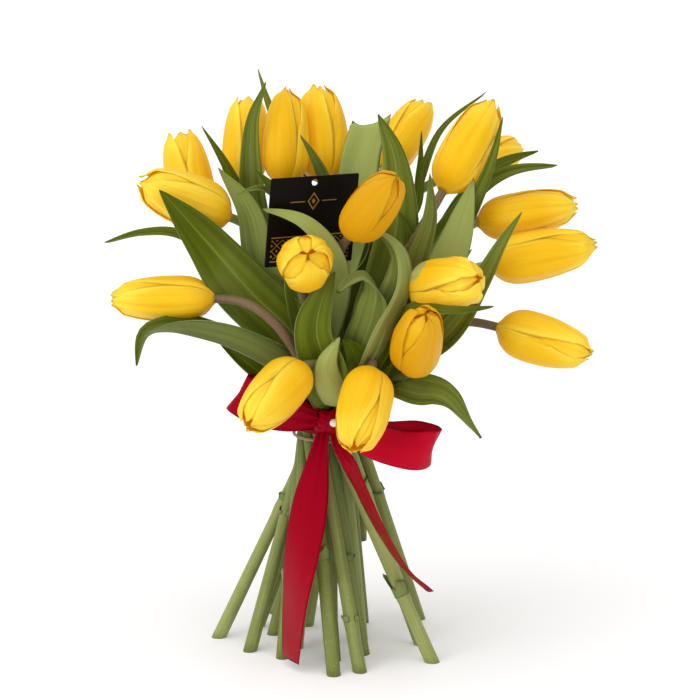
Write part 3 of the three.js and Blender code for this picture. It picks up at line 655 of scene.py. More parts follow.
class Finish:
    """A material under construction."""

    def __init__(self, name):
        self.material = bpy.data.materials.new(name)
        self.material.use_nodes = True
        self.tree = self.material.node_tree
        self.shader = self.tree.nodes["Principled BSDF"]

    def set(self, socket, value):
        if isinstance(value, Wire):
            self.tree.links.new(value.socket, socket)
        elif socket.type == "RGBA" and len(value) == 3:
            socket.default_value = (*value, 1)
        else:
            socket.default_value = value

    def node(self, kind, settings, values, output=0):
        node = self.tree.nodes.new(kind)
        for key, value in settings.items():
            setattr(node, key, value)
        for key, value in values.items():
            self.set(node.inputs[key], value)
        return Wire(self, node.outputs[output])

    def math(self, operation, *values):
        return self.node("ShaderNodeMath", {"operation": operation}, dict(enumerate(values)))

    def blend(self, share, a, b):
        """Colour a, turning into colour b as share goes from 0 to 1."""
        return self.node("ShaderNodeMix", {"data_type": "RGBA"}, {0: share, 6: a, 7: b}, output=2)

    def layers(self, colour, *layers):
        """A colour with others over it: each layer is the share that it covers and its colour."""
        for share, over in layers:
            colour = self.blend(share, colour, over)
        return colour

    def uv(self):
        """The coordinates round and along a sheet or tube."""
        place = self.node("ShaderNodeUVMap", {"uv_map": "UVMap"}, {})
        split = self.tree.nodes.new("ShaderNodeSeparateXYZ")
        self.tree.links.new(place.socket, split.inputs[0])
        return Wire(self, split.outputs[0]), Wire(self, split.outputs[1])

    def map(self, name):
        """A number that the mesh holds at each point."""
        return self.node("ShaderNodeAttribute", {"attribute_name": name}, {}, output="Fac")

    def noise(self, place, scale, detail):
        return self.node("ShaderNodeTexNoise", {}, {"Vector": place, "Scale": scale, "Detail": detail})

    def solid_noise(self, scale, detail=3.0):
        """Noise through the whole piece, whatever its sheets and tubes."""
        place = self.node("ShaderNodeTexCoord", {}, {}, output="Object")
        return self.noise(place, scale, detail)

    def streaks(self, x, y, z=0.0, detail=3.0):
        """Noise on the coordinates of a sheet or tube, drawn out by how much each is scaled."""
        place = self.node("ShaderNodeCombineXYZ", {}, {0: x, 1: y, 2: z})
        return self.noise(place, 1.0, detail)

    def bump(self, height, distance, strength):
        return self.node("ShaderNodeBump", {}, {"Height": height, "Distance": distance, "Strength": strength})

    def surface(self, **values):
        for key, value in values.items():
            self.set(self.shader.inputs[key.replace("_", " ").title().replace("Ior", "IOR")], value)
        return self.material


def across_sheet(turn):
    """0 at a sheet's one edge and 1 at its other, the same on both faces."""
    return 1 - abs(1 - turn * 2)


def scaled(colour, factor):
    """A darker or lighter colour."""
    return tuple(part * factor for part in colour)


def petal_finish(settings):
    finish = Finish("petal")
    turn, along = finish.uv()
    across = across_sheet(turn)
    off_middle = abs(across * 2 - 1)
    tone, torn = finish.map("Tone"), finish.map("Patch")
    streaks = finish.streaks(across * 20, along * 1.3, tone * 9, detail=4.0)
    fine = finish.streaks(across * 85, along * 2.5, tone * 9, detail=2.0)
    cloud = finish.solid_noise(40.0, detail=2.0)
    # Painted highlight: the edges and tips are painted paler, towards the lit colour, with random clouds and
    # the bloom's tone added.
    light = off_middle.fade(0.5, 1.0) * 0.55 + along.fade(0.55, 1.0) * 0.55
    light = light + (cloud - 0.5) * 0.7 + tone * 0.35
    groove = 1 - off_middle.fade(0.0, 0.1)
    # Painted shade: the foot of a petal and its middle groove are painted deeper orange. The streaks are the
    # petal's own colour.
    shade_and_streaks = (1 - along.fade(0.0, 0.4)) * 0.3 + streaks.fade(0.45, 0.75) * 0.34
    shade_and_streaks = shade_and_streaks + groove * along.fade(0.1, 0.5) * 0.16
    foot = (1 - along.fade(0.012, 0.05)) * (0.7 - off_middle * 0.5)
    patch = (torn + (cloud - 0.5) * 0.9 + (streaks - 0.5) * 0.6).fade(0.45, 0.6)
    orange, fibre, foot_green = (0.52, 0.24, 0.002), (0.85, 0.6, 0.08), (0.48, 0.4, 0.06)
    # Blooms with a low tone are painted orange, partly as painted shade on blooms that sit in shade.
    colour = finish.layers(
        settings.petal,
        (light.fade(-0.1, 1.0), settings.edge),
        (shade_and_streaks, settings.crease),
        ((0 - tone).fade(0.2, 1.2) * 0.8, orange),
        (fine.fade(0.5, 0.8) * 0.16, fibre),
        (foot, foot_green),
        (patch, finish.blend(fine, (0.17, 0.27, 0.07), (0.5, 0.52, 0.22))),
    )
    height = streaks * 0.7 + fine * 0.35 - groove * 0.4
    # The petals glow a little orange: painted light that stands in for light shining through them.
    return finish.surface(
        base_color=colour, roughness=0.4 + streaks * 0.18, normal=finish.bump(height, 0.0004, 0.7),
        subsurface_weight=0.15, subsurface_radius=(0.005, 0.0022, 0.0002), subsurface_scale=0.5,
        specular_ior_level=0.3, specular_tint=(1.0, 0.75, 0.3),
        emission_color=(1.0, 0.4, 0.0), emission_strength=0.11)


def stem_finish(settings):
    finish = Finish("stem")
    turn, along = finish.uv()
    browned, tone = finish.map("Patch"), finish.map("Tone")
    lines = finish.streaks(turn * 34, along * 6, tone * 7)
    patches = finish.solid_noise(38.0, detail=4.0)
    specks = finish.solid_noise(900.0, detail=2.0)
    dark_green, speck = (0.085, 0.14, 0.025), (0.5, 0.5, 0.33)
    colour = finish.layers(
        settings.green,
        ((lines * 0.8 + patches * 0.7 + tone * 0.5 - 0.3).fade(0.2, 0.8), settings.pale),
        (patches.fade(0.5, 0.72) * 0.4, dark_green),
        ((browned + (lines - 0.5) * browned * 0.8).fade(0.1, 0.95), settings.taupe),
        (specks.fade(0.62, 0.72) * 0.3, speck),
    )
    return finish.surface(
        base_color=colour, roughness=0.4 + patches * 0.2,
        normal=finish.bump(lines + specks * 0.15, 0.0003, 0.6),
        subsurface_weight=0.08, subsurface_radius=(0.001, 0.002, 0.0006), subsurface_scale=0.5,
        specular_ior_level=0.35, specular_tint=(0.9, 0.95, 0.6))


def sheath_finish(settings):
    finish = Finish("torn leaf base")
    turn, along = finish.uv()
    tone = finish.map("Tone")
    fibres = finish.streaks(turn * 60, along * 3, tone * 9)
    fresh_green, dry_brown = (0.16, 0.25, 0.05), (0.2, 0.11, 0.05)
    colour = finish.layers(
        settings.sheath,
        ((fibres + tone * 0.7).fade(0.2, 1.0), fresh_green),
        (along.fade(0.6, 1.0) * fibres, dry_brown),
    )
    return finish.surface(
        base_color=colour, roughness=0.6 + fibres * 0.2, normal=finish.bump(fibres, 0.0003, 0.8),
        specular_ior_level=0.3)


def cut_finish():
    """The pale cut end of a stem."""
    finish = Finish("cut end")
    cells = finish.solid_noise(1600.0, detail=2.0)
    colour = finish.blend(cells.fade(0.35, 0.65), (0.3, 0.31, 0.12), (0.46, 0.44, 0.23))
    return finish.surface(
        base_color=colour, roughness=0.5 + cells * 0.2, normal=finish.bump(cells, 0.0002, 0.6),
        specular_ior_level=0.4)


def leaf_finish(name, colour, settings, film):
    """One face of a leaf. film is how much pale wax is on it, and the map Tone lightens or darkens a whole
    leaf, partly as painted light and painted shade.
    """
    finish = Finish(name)
    turn, along = finish.uv()
    across = across_sheet(turn)
    off_middle = abs(across * 2 - 1)
    tone = finish.map("Tone")
    wobble = finish.streaks(along * 2.5, across, tone * 9, detail=2.0)
    veins = (across * 190 + wobble * 14).sine() * 0.5 + 0.5
    broad = finish.streaks(across * 7, along * 1.1, tone * 9)
    fine = finish.streaks(across * 70, along * 4, tone * 9, detail=2.0)
    patches = finish.solid_noise(24.0)
    midrib = 1 - off_middle.fade(0.0, 0.05)
    wax, base_green = (0.3, 0.34, 0.12), (0.24, 0.32, 0.1)
    # Painted light and shade: darker and lighter copies of the green follow the broad ripples of the bump,
    # and the tone lightens a whole leaf towards the light green above zero and darkens it below. The veins,
    # wax, green base, midrib and pale edge are the leaf's own colour.
    shade = finish.layers(
        scaled(colour, 0.7),
        (broad.fade(0.3, 0.7), scaled(colour, 1.25)),
        ((tone + (broad - 0.5) * 0.5).fade(0.1, 1.0) * 0.85, settings.light),
        ((0 - tone).fade(0.0, 1.0) * 0.6, scaled(colour, 0.4)),
        (veins * 0.07 + fine.fade(0.45, 0.75) * 0.12, scaled(colour, 0.5)),
        (patches.fade(0.45, 0.75) * film, wax),
        ((1 - along.fade(0.0, 0.2)) * 0.4, base_green),
        (midrib * 0.3, settings.light),
        (off_middle.fade(0.945, 0.985) * 0.7, settings.edge),
    )
    height = veins * 0.25 + broad * 1.2 + fine * 0.2 - midrib * 0.4
    return finish.surface(
        base_color=shade, roughness=0.33 + patches * 0.2, normal=finish.bump(height, 0.0004, 0.6),
        subsurface_weight=0.06, subsurface_radius=(0.001, 0.0025, 0.0005), subsurface_scale=0.5,
        specular_ior_level=0.25, specular_tint=(0.85, 0.95, 0.35))


def satin_finish(settings):
    finish = Finish("crimson satin")
    turn, along = finish.uv()
    across = across_sheet(turn)
    threads = (across * 700).sine() * 0.5 + 0.5
    slubs = finish.streaks(across * 60, along * 2.5)
    soft = finish.solid_noise(55.0, detail=2.0)
    edge = abs(across * 2 - 1).fade(0.93, 0.98)
    selvedge = (0.56, 0.004, 0.03)
    # The Tone map paints the right loop in the bright colour, a painted highlight.
    colour = finish.layers(
        settings.satin,
        (finish.map("Tone"), settings.painted_highlight),
        (slubs * 0.35, scaled(settings.satin, 0.6)),
        (soft.fade(0.5, 0.8) * 0.25, scaled(settings.satin, 1.3)),
        (edge * 0.4, selvedge),
    )
    height = threads * 0.25 + slubs * 0.3 + soft * 1.1 + edge * 0.5
    return finish.surface(
        base_color=colour, roughness=0.28 + slubs * 0.16, normal=finish.bump(height, 0.00025, 0.6),
        specular_ior_level=0.28, specular_tint=(1.0, 0.08, 0.2), anisotropic=0.5)


def raffia_finish(settings):
    finish = Finish("raffia")
    turn, along = finish.uv()
    fibres = finish.streaks(turn * 22, along * 60)
    colour = finish.blend(fibres.fade(0.3, 0.7), settings.raffia, scaled(settings.raffia, 0.55))
    return finish.surface(base_color=colour, roughness=0.75, normal=finish.bump(fibres, 0.0003, 0.8))


def pearl_finish():
    finish = Finish("pearl")
    cloud = finish.solid_noise(420.0, detail=2.0)
    colour = finish.blend(cloud.fade(0.3, 0.7), (0.86, 0.82, 0.78), (0.93, 0.88, 0.86))
    return finish.surface(
        base_color=colour, roughness=0.16 + cloud * 0.08, coat_weight=0.6, coat_roughness=0.08,
        sheen_weight=0.2)


def steel_finish():
    finish = Finish("pin steel")
    scratch = finish.solid_noise(900.0, detail=2.0)
    return finish.surface(base_color=(0.55, 0.55, 0.56), metallic=1.0, roughness=0.25 + scratch * 0.2)


def card_finish(settings):
    """Black board, printed in gold with a band of plain lattice along its foot and a lozenge above."""
    finish = Finish("black card")
    x, y = finish.uv()
    grain = finish.solid_noise(1500.0)
    soft = finish.solid_noise(40.0, detail=2.0)
    band_foot, band_top, lozenge_y = 0.06, 0.33, 0.72
    in_margins = x.fade(0.05, 0.055) * (1 - x.fade(0.945, 0.95))
    in_band = y.fade(0.085, 0.09) * (1 - y.fade(0.3, 0.305)) * in_margins
    rising, falling = (x * 26 + y * 26).sine(), (x * 26 - y * 26).sine()
    lattice = (1 - abs(rising).fade(0.1, 0.22)) + (1 - abs(falling).fade(0.1, 0.22))
    dots = (abs(rising) * abs(falling)).fade(0.86, 0.92)
    rails = (1 - abs(y - band_foot).fade(0.004, 0.009)) + (1 - abs(y - band_top).fade(0.004, 0.009))
    reach = abs(x - 0.5) * 1.5 + abs(y - lozenge_y)
    lozenge = (1 - abs(reach - 0.09).fade(0.008, 0.014)) + (1 - reach.fade(0.03, 0.036))
    beside = 1 - abs(abs(x - 0.5) - 0.18).fade(0.08, 0.085)
    bars = (1 - abs(y - lozenge_y).fade(0.003, 0.007)) * beside
    printed = (lattice + dots) * in_band + rails * in_margins + lozenge + bars
    gold = finish.math("MINIMUM", printed, 1.0) * (0.75 + grain * 0.4)
    colour = finish.layers(
        (0.002, 0.0015, 0.0015),
        (soft, (0.006, 0.0045, 0.004)),
        (gold, settings.gold),
    )
    return finish.surface(
        base_color=colour, roughness=0.42 - gold * 0.1 + grain * 0.12, metallic=gold * 0.7,
        normal=finish.bump(grain * 0.4 + gold * 0.3, 0.0001, 0.4), specular_ior_level=0.1)


def board_finish():
    finish = Finish("card board")
    grain = finish.solid_noise(1500.0)
    colour = finish.blend(grain, (0.008, 0.007, 0.007), (0.016, 0.014, 0.014))
    return finish.surface(base_color=colour, roughness=0.55 + grain * 0.1, specular_ior_level=0.3)


# Flowers

# Radius of a bloom from its foot to its tip, closed and open, as a share of its widest.
OUTLINE = [0.17, 0.62, 0.86, 0.97, 1.01, 1.02, 1.01, 0.98, 0.92, 0.83, 0.71, 0.54, 0.3]
OPEN_OUTLINE = [0.17, 0.62, 0.86, 0.97, 1.0, 1.01, 1.02, 1.01, 0.99, 0.95, 0.88, 0.78, 0.64]
PETALS = 3  # in each of the two whorls
OUTER_SPREAD, INNER_SPREAD = 65, 61  # degrees to each side of a petal's middle
TWIST = 0.12
TO_VIEWER = Vector((0, -0.98, 0.2))
JOINT_SWELL, JOINT_REACH = 0.6, 3.5
PETAL_FINISH, SHEATH_FINISH, CUT_FINISH = 1, 2, 3  # among a plant's finishes, after its stem's


def add_petal(bm, settings, tulip, place, chance):
    """One petal on a bloom: its place counts round the bloom, and the odd places are the inner whorl."""
    roll = math.radians(tulip["roll"])
    middle, inner = roll + math.pi * place / PETALS, place % 2 == 1
    base, tip = at(tulip["base"]), at(tulip["tip"])
    up = (tip - base).normalized()
    front = (TO_VIEWER - up * TO_VIEWER.dot(up)).normalized()
    side = up.cross(front)
    opening, ruffle = tulip["open"], tulip.get("ruffle", 0.05)
    height = (tip - base).length * (1 - chance.uniform(0, 0.03 + 0.05 * ruffle) - (0.015 if inner else 0))
    size = tulip["radius"] * MM
    half = math.radians(INNER_SPREAD if inner else OUTER_SPREAD + chance.uniform(-3, 3))
    narrowing = mix(0.02, 0.2, opening) if inner else 0.3
    drop = mix(0.02, 0.26, opening) if inner else 0.17 + 0.1 * opening
    seed = Vector((chance.uniform(0, 50), chance.uniform(0, 50), 0))
    lean = chance.uniform(-0.1, 0.1)
    lift = chance.uniform(0, 0.012) + 0.12 * ruffle
    lifted = chance.choice((-1, 1))
    end = 0.95 if inner else chance.uniform(0.62, 0.85)
    # A bloom may close to one side of its middle, away from its first petal.
    aside = (front * math.cos(roll) + side * math.sin(roll)) * -tulip.get("aside", 0) * size

    def surface(across, along):
        reach = abs(across)
        spread = half * (1 - narrowing * smooth_step(0.35, 1, along))
        notch = drop * reach ** 2.2 * along ** 3
        teeth = noise.noise(seed + Vector((across * 4, 0, 3))) * smooth_step(0.85, 1, along)
        rise = along * (1 - notch) + (0.018 + 0.03 * ruffle) * teeth
        closing = mix(end, 0.95, smooth_step(0.3, 1, reach))
        closed = read_at(OUTLINE, rise) * (1 - closing * smooth_step(0.87, 1, rise))
        own_opening = opening * (tulip.get("inside", 0.8) if inner else 1)
        out = mix(closed, read_at(OPEN_OUTLINE, rise), own_opening)
        # The foot of the bloom has a lobe for each petal, with a crease between them.
        lobes = 0.03 + 0.13 * (1 - smooth_step(0.08, 0.7, along))
        under = mix(0.83, 0.955, smooth_step(0.08, 0.55, along)) * (1 - 0.13 * lobes)
        if inner:
            out *= under
        else:
            # Its edges lie against the petals inside it.
            hug = smooth_step(0.5, 1, reach) * smooth_step(0.1, 0.5, along)
            edge = under - 0.006 + 0.02 * opening
            loose = 0.5 * opening * along + 0.4 * ruffle
            out *= mix(1 + lobes * (0.4 - reach ** 2.2), edge, hug * (1 - loose))
        out *= size
        # A groove runs down its middle, with ribs beside it.
        out -= 0.0005 * math.exp(-((across / 0.09) ** 2)) * smooth_step(0.1, 0.5, along)
        out += 0.0002 * math.cos(across * 12 + seed.x) * smooth_step(0.05, 0.3, along)
        far = smooth_step(0.45, 0.95, along) * smooth_step(0.55, 1, reach)
        waves = noise.noise(seed + Vector((across * 1.6, along * (3 + 4 * ruffle), 0)))
        waves = min(waves, 0) if inner else max(waves, -0.05)
        out += size * (0.01 + 0.3 * ruffle) * waves * far
        if not inner:
            out += size * lift * far * (1 if across * lifted > 0 else 0)
        # One edge lies over its neighbour and the other under it.
        out += 0.0002 * across * math.sin(math.pi * min(along, 1))
        angle = middle + across * spread + lean * along + TWIST * smooth_step(0.4, 1, along)
        way = front * math.cos(angle) + side * math.sin(angle)
        return base + up * height * rise + way * out + aside * smooth_step(0.7, 1, rise), way

    faces = add_sheet(
        bm, settings.columns, settings.rows, surface, settings.thickness, (PETAL_FINISH, PETAL_FINISH))
    paint(bm, faces, "Tone", tulip.get("tone", 0) + chance.uniform(-0.25, 0.25))
    return faces


def add_heart(bm, tulip):
    """The pistil and the six stamens inside a bloom."""
    base, tip = at(tulip["base"]), at(tulip["tip"])
    up = (tip - base).normalized()
    side = up.orthogonal().normalized()
    other = up.cross(side)
    size = tulip["radius"] * MM
    rod = [base + up * size * height for height in (0.1, 0.5, 1.0, 1.45, 1.6, 1.7)]
    add_tube(bm, rod, [size * r for r in (0.13, 0.15, 0.14, 0.13, 0.2, 0.1)], sides=8)
    for i in range(2 * PETALS):
        angle = math.pi * i / PETALS
        way = side * math.cos(angle) + other * math.sin(angle)
        foot = base + way * size * 0.2
        line = [foot + (up + way * 0.1) * size * height for height in (0.1, 0.6, 0.75, 1.1, 1.3)]
        add_tube(bm, line, [size * r for r in (0.03, 0.03, 0.07, 0.08, 0.03)], sides=6)


def stem_radii(line, settings, joints):
    """The stem's radius at each point of its line. It swells a little at its joints."""
    radii = []
    first_upper = next(i for i, point in enumerate(line) if point.z > WAIST_Z)
    for i, point in enumerate(line):
        if point.z < WAIST_Z:
            radius = mix(settings.foot, settings.waist, point.z / WAIST_Z)
        else:
            radius = mix(settings.waist, settings.neck, (i - first_upper) / (len(line) - first_upper))
        for joint in joints:
            radius += JOINT_SWELL * MM * math.exp(-(((point.z - joint) / JOINT_REACH) ** 2))
        radii.append(radius)
    return radii


def add_sheath(bm, points, radii, height, length, chance):
    """What is left of a leaf that was stripped off: its torn base, still wrapped round the joint."""
    i = next(i for i, point in enumerate(points) if point.z > height * MM)
    foot, way = points[i], (points[i + 1] - points[i]).normalized()
    side = way.orthogonal().normalized()
    other = way.cross(side)
    turn, seed = chance.uniform(0, 2 * math.pi), chance.uniform(0, 50)

    def surface(across, along):
        angle = turn + across * 2.8
        torn = 0.8 + 0.7 * noise.noise(Vector((across * 4, seed, 0)))
        rise = length * MM * along * torn * (1 - 0.6 * across ** 2)
        out = radii[i] + 0.00035 + 0.0015 * along ** 2.5 * torn
        outward = side * math.cos(angle) + other * math.sin(angle)
        return foot + way * (rise - 0.001) + outward * out, outward

    faces = add_sheet(
        bm, columns=14, rows=6, surface=surface, thickness=0.0003, finishes=(SHEATH_FINISH, SHEATH_FINISH))
    paint(bm, faces, "Tone", chance.uniform(0, 1))


class TULIPS_OT_flowers(bpy.types.Operator):
    """Grow every tulip: its stem from the cut to the neck, and six petals round a pistil."""

    bl_idname = "tulips.flowers"
    bl_label = "Tulips"

    def execute(self, context):
        blooms, stems = context.scene.tulip_bloom, context.scene.tulip_stem
        finishes = [stem_finish(stems), petal_finish(blooms), sheath_finish(stems), cut_finish()]
        chance = random.Random(SEED)
        for number, tulip in enumerate(TULIPS, 1):
            bm = new_mesh("Tone", "Patch")
            self.add_stem(bm, tulip, stems, chance)
            grown = set(bm.faces)
            add_heart(bm, tulip)
            for face in bm.faces:
                if face not in grown:
                    face.material_index = PETAL_FINISH
            for i in range(2 * PETALS):
                faces = add_petal(bm, blooms, tulip, i, chance)
                if "green" in tulip:
                    self.tear(bm, faces, at(tulip["green"]))
            node = f"tulip_{number:02d}"
            finish_piece(bm, node + "_plant", finishes, [node])
        return {"FINISHED"}

    def tear(self, bm, faces, middle):
        """Marks a torn green patch on a petal."""
        patch = bm.verts.layers.float["Patch"]
        for face in faces:
            for vert in face.verts:
                vert[patch] = 1 - smooth_step(0.005, 0.012, (vert.co - middle).length)

    def add_stem(self, bm, tulip, settings, chance):
        tone, browned = bm.verts.layers.float["Tone"], bm.verts.layers.float["Patch"]
        line = stem_line(tulip)
        sheaths = tulip.get("sheaths", ())
        radii = stem_radii(line, settings, [height for height, _ in sheaths])
        base = at(tulip["base"])
        # The stem runs a little into the bloom, whose petals close over it.
        up = (at(tulip["tip"]) - base).normalized()
        points = [at(point) for point in line] + [base + up * 0.002]
        verts = add_tube(bm, points, radii + [settings.neck * 0.9], settings.sides, self.ribs)
        bottom = points[0].z + settings.foot * 1.3
        way = (points[1] - points[0]).normalized()
        own_tone = chance.uniform(-0.3, 0.6)
        for vert in verts:
            if vert.co.z < bottom and (vert.co - points[0]).length < settings.foot * 1.5:
                # The cut is level, and dished a little at its middle.
                radial = (vert.co - points[0]).length
                vert.co += way * (points[0].z - vert.co.z) / way.z
                if radial < settings.foot * 0.3:
                    vert.co.z += 0.0008
                    for face in vert.link_faces:
                        face.material_index = CUT_FINISH
            vert[tone] = own_tone
            share = smooth_step(0.02, 0.1, 0.13 - (vert.co - base).length)
            vert[browned] = share * tulip.get("taupe", 0.15)
        for height, length in sheaths:
            add_sheath(bm, points, radii, height, length, chance)

    @staticmethod
    def ribs(row, angle):
        """A stem isn't quite round."""
        return 1 + 0.03 * math.cos(2 * angle + row * 0.05) + 0.015 * math.cos(5 * angle)


# Leaves


LEAF_START = 2.6  # from the stem's middle, inside its skin


def leaf_route(leaf):
    """The middle line of a leaf, which starts at the side of its stem."""
    stem = stem_line(TULIPS[leaf["on"] - 1])
    i = next(i for i, point in enumerate(stem) if point.z > leaf["at"])
    start = stem[i - 1].lerp(stem[i], (leaf["at"] - stem[i - 1].z) / (stem[i].z - stem[i - 1].z))
    out = (Vector(leaf["route"][0]) - start) * Vector((1, 1, 0))
    return Route([at(point) for point in (start + out.normalized() * LEAF_START, *leaf["route"])])


def leaf_outline(share):
    """Half the width of a leaf along its length, as a share of its widest."""
    return max(0, math.sin(math.pi * (0.12 + 0.88 * share) ** 0.85)) ** 0.75


def add_leaf(bm, leaf, settings, chance):
    line = leaf_route(leaf)
    faces_up = [Vector(face) for face in leaf["face"]]
    width, own_fold = leaf["width"] * MM, leaf.get("fold", 0.42)
    wave = leaf.get("wave", 0.05) * width
    lean = leaf.get("lean", chance.uniform(-0.08, 0.08))
    seed = Vector((chance.uniform(0, 50), chance.uniform(0, 50), 0))
    count = chance.uniform(2.2, 3.4)
    torn = leaf.get("torn", 0)

    def surface(across, along):
        forward = line.along(along)
        side = read_at(faces_up, along).cross(forward).normalized()
        up = forward.cross(side)
        edge = 1 if across > 0 else -1
        outline = leaf_outline(min(along, 0.55) if torn else along)
        half = max(0.0002, width / 2 * outline * (1 + lean * edge))
        half *= 1 + 0.07 * noise.noise(seed + Vector((edge * 7, along * 5, 0)))
        # The base clasps its stem, and the blade opens out beyond it.
        fold = mix(1.1, own_fold, smooth_step(0, 0.28, along)) + 0.2 * smooth_step(0.85, 1, along)
        share = abs(across)
        rise = half * math.sin(fold) * share ** 1.45
        rise += wave * share ** 2.6 * 2 * noise.noise(seed + Vector((edge * 3, along * count, 5)))
        rise += 0.03 * width * noise.noise(seed + Vector((across * 1.5, along * 4, 9)))
        rise -= 0.00035 * math.exp(-((across / 0.07) ** 2))
        middle = line.at(along * (1 - torn * (1 - across ** 2)))
        middle -= forward * across * torn * 0.11 * smooth_step(0.5, 1, along)
        point = middle + side * across * half * math.cos(fold) + up * rise
        outward = (up * math.cos(fold) - side * edge * math.sin(fold) * share ** 0.45).normalized()
        return point, outward

    faces = add_sheet(bm, settings.columns, settings.rows, surface, settings.thickness, (0, 1))
    paint(bm, faces, "Tone", leaf["tone"])


class TULIPS_OT_leaves(bpy.types.Operator):
    """Grow the folded leaves from their stems."""

    bl_idname = "tulips.leaves"
    bl_label = "Leaves"

    def execute(self, context):
        settings = context.scene.tulip_leaf
        finishes = [leaf_finish("leaf upper face", settings.upper, settings, 0.15),
                    leaf_finish("leaf underside", settings.under, settings, 0.4)]
        chance = random.Random(SEED)
        for leaves, extra in ((LEAVES, False), (EXTRA_LEAVES, True)):
            for name, leaf in leaves.items():
                bm = new_mesh("Tone")
                add_leaf(bm, leaf, settings, chance)
                nodes = [] if extra else ["leaf_" + name]
                finish_piece(bm, ("small_leaf_" if extra else "blade_") + name, finishes, nodes)
        return {"FINISHED"}


# Tie and bow


def ribbon_surface(name):
    """The surface of a loop or tail, and its length."""
    points, widths, ways = RIBBON_LENGTHS[name]
    route = Route([at(point) for point in points])
    ways = [Vector(way) for way in ways]
    length = route.lengths[-1]
    both_ends = "loop" in name

    def surface(across, along):
        forward = route.along(along)
        side = read_at(ways, along)
        side = (side - forward * side.dot(forward)).normalized()
        up = forward.cross(side)
        half = read_at(widths, along) / 2 * MM
        # The ribbon is pleated where the knot grips it.
        from_knot = min(along, 1 - along) * length if both_ends else along * length
        pleat = 0.0016 * math.exp(-from_knot / 0.014)
        crown = 0.0006 * smooth_step(0, 0.04, from_knot)
        rise = pleat * math.cos(across * 8) + crown * math.cos(across * 2.2)
        return route.at(along) + side * across * half + up * rise, up

    return surface, length


class TULIPS_OT_bow(bpy.types.Operator):
    """Tie the bunch: raffia string, satin band, knot, loops, tails and the pearl pin."""

    bl_idname = "tulips.bow"
    bl_label = "Tie and bow"

    def execute(self, context):
        settings = context.scene.tulip_ribbon
        satin = satin_finish(settings)
        self.add_string(settings)
        self.add_band(settings, satin)
        knot = self.add_knot(satin)
        for name in RIBBON_LENGTHS:
            surface, length = ribbon_surface(name)
            bm = new_mesh("Tone")
            faces = add_sheet(bm, columns=12, rows=70, surface=surface, thickness=settings.thickness)
            # The right loop is painted bright where it turns to the light, a painted highlight.
            paint(bm, faces, "Tone", 0.8 if name == "ribbon_loop_right" else 0)
            piece = finish_piece(bm, name + "_satin", [satin], [name])
        self.add_pin(settings)
        return {"FINISHED"}

    def add_string(self, settings):
        """Three strands of raffia, twisted together round the stems."""
        bm = new_mesh()
        steps, strands = 150, 3
        for strand in range(strands):
            line = []
            for i in range(steps + 1):
                angle = 2 * math.pi * i / steps * 1.01 + 0.5 * math.pi
                twist = 2 * math.pi * strand / strands + angle * 9
                out = STRING_RADIUS + STRAND_RADIUS * math.cos(twist)
                z = STRING_Z + STRAND_RADIUS * math.sin(twist)
                line.append(at((out * math.cos(angle), out * math.sin(angle), z)))
            add_tube(bm, line, [STRAND_RADIUS * MM] * len(line), sides=7, start=Vector((0, 1, 0)))
        finish_piece(bm, "raffia_string", [raffia_finish(settings)], ["binding_string"])

    def add_band(self, settings, satin):
        """The ribbon's turn round the stems, pleated where it is pulled tight over them."""

        def surface(across, along):
            angle = -2 * math.pi * along
            outward = Vector((math.cos(angle), math.sin(angle), 0))
            pleats = 0.45 * math.cos(across * 9 + 1.2 * math.sin(3 * angle)) + 0.25 * math.cos(13 * angle)
            height = BAND_Z + BAND_HALF_WIDTH * across + 0.5 * math.sin(2 * angle)
            return at(outward * (BAND_RADIUS + pleats) + Vector((0, 0, height))), outward

        bm = new_mesh()
        add_sheet(bm, columns=16, rows=120, surface=surface, thickness=settings.thickness, closed=True)
        piece = finish_piece(bm, "band_satin", [satin], ["ribbon_band"])

    def add_knot(self, satin):
        """The bow's knot, with folds that run into it from both sides."""
        bm = new_mesh()
        ball = bmesh.ops.create_uvsphere(bm, u_segments=64, v_segments=40, radius=1, calc_uvs=True)
        middle = at(KNOT_MIDDLE)
        for vert in ball["verts"]:
            angle = math.atan2(vert.co.z, vert.co.x)
            fold = 0.07 * math.sin(angle * 7 + 2.5 * vert.co.y)
            fold += 0.04 * math.sin(vert.co.z * 14 + vert.co.x * 5)
            squeeze = 1 - 0.18 * math.exp(-((vert.co.x / 0.3) ** 2))
            # Its back is pressed flat against the band.
            depth = min(vert.co.y * 1.8, 1) if vert.co.y > 0 else vert.co.y
            place = Vector((vert.co.x, depth, vert.co.z * squeeze)) * (0.97 + fold)
            vert.co = middle + Vector(KNOT_RADII) * MM * place
        return finish_piece(bm, "knot_satin", [satin], ["ribbon_knot"])

    def add_pin(self, settings):
        """A pearl on a steel pin, stuck through the knot."""
        bm = new_mesh()
        front = KNOT_MIDDLE[1] - KNOT_RADII[1]
        sides = {"u_segments": 40, "v_segments": 24}
        pearl = bmesh.ops.create_uvsphere(bm, **sides, radius=settings.pearl, calc_uvs=True)
        head = at((PIN_X, front, PIN_Z)) - Vector((0, settings.pearl, 0))
        bmesh.ops.translate(bm, verts=pearl["verts"], vec=head)
        round_faces = set(bm.faces)
        shaft = [at((PIN_X, front - 0.2 + step, PIN_Z)) for step in (0, 3, 6, 7)]
        add_tube(bm, shaft, [PIN_RADIUS * MM * share for share in (1, 1, 1, 0.25)], sides=12)
        for face in bm.faces:
            face.material_index = 0 if face in round_faces else 1
        finish_piece(bm, "pearl_and_pin", [pearl_finish(), steel_finish()], ["pearl_pin"])


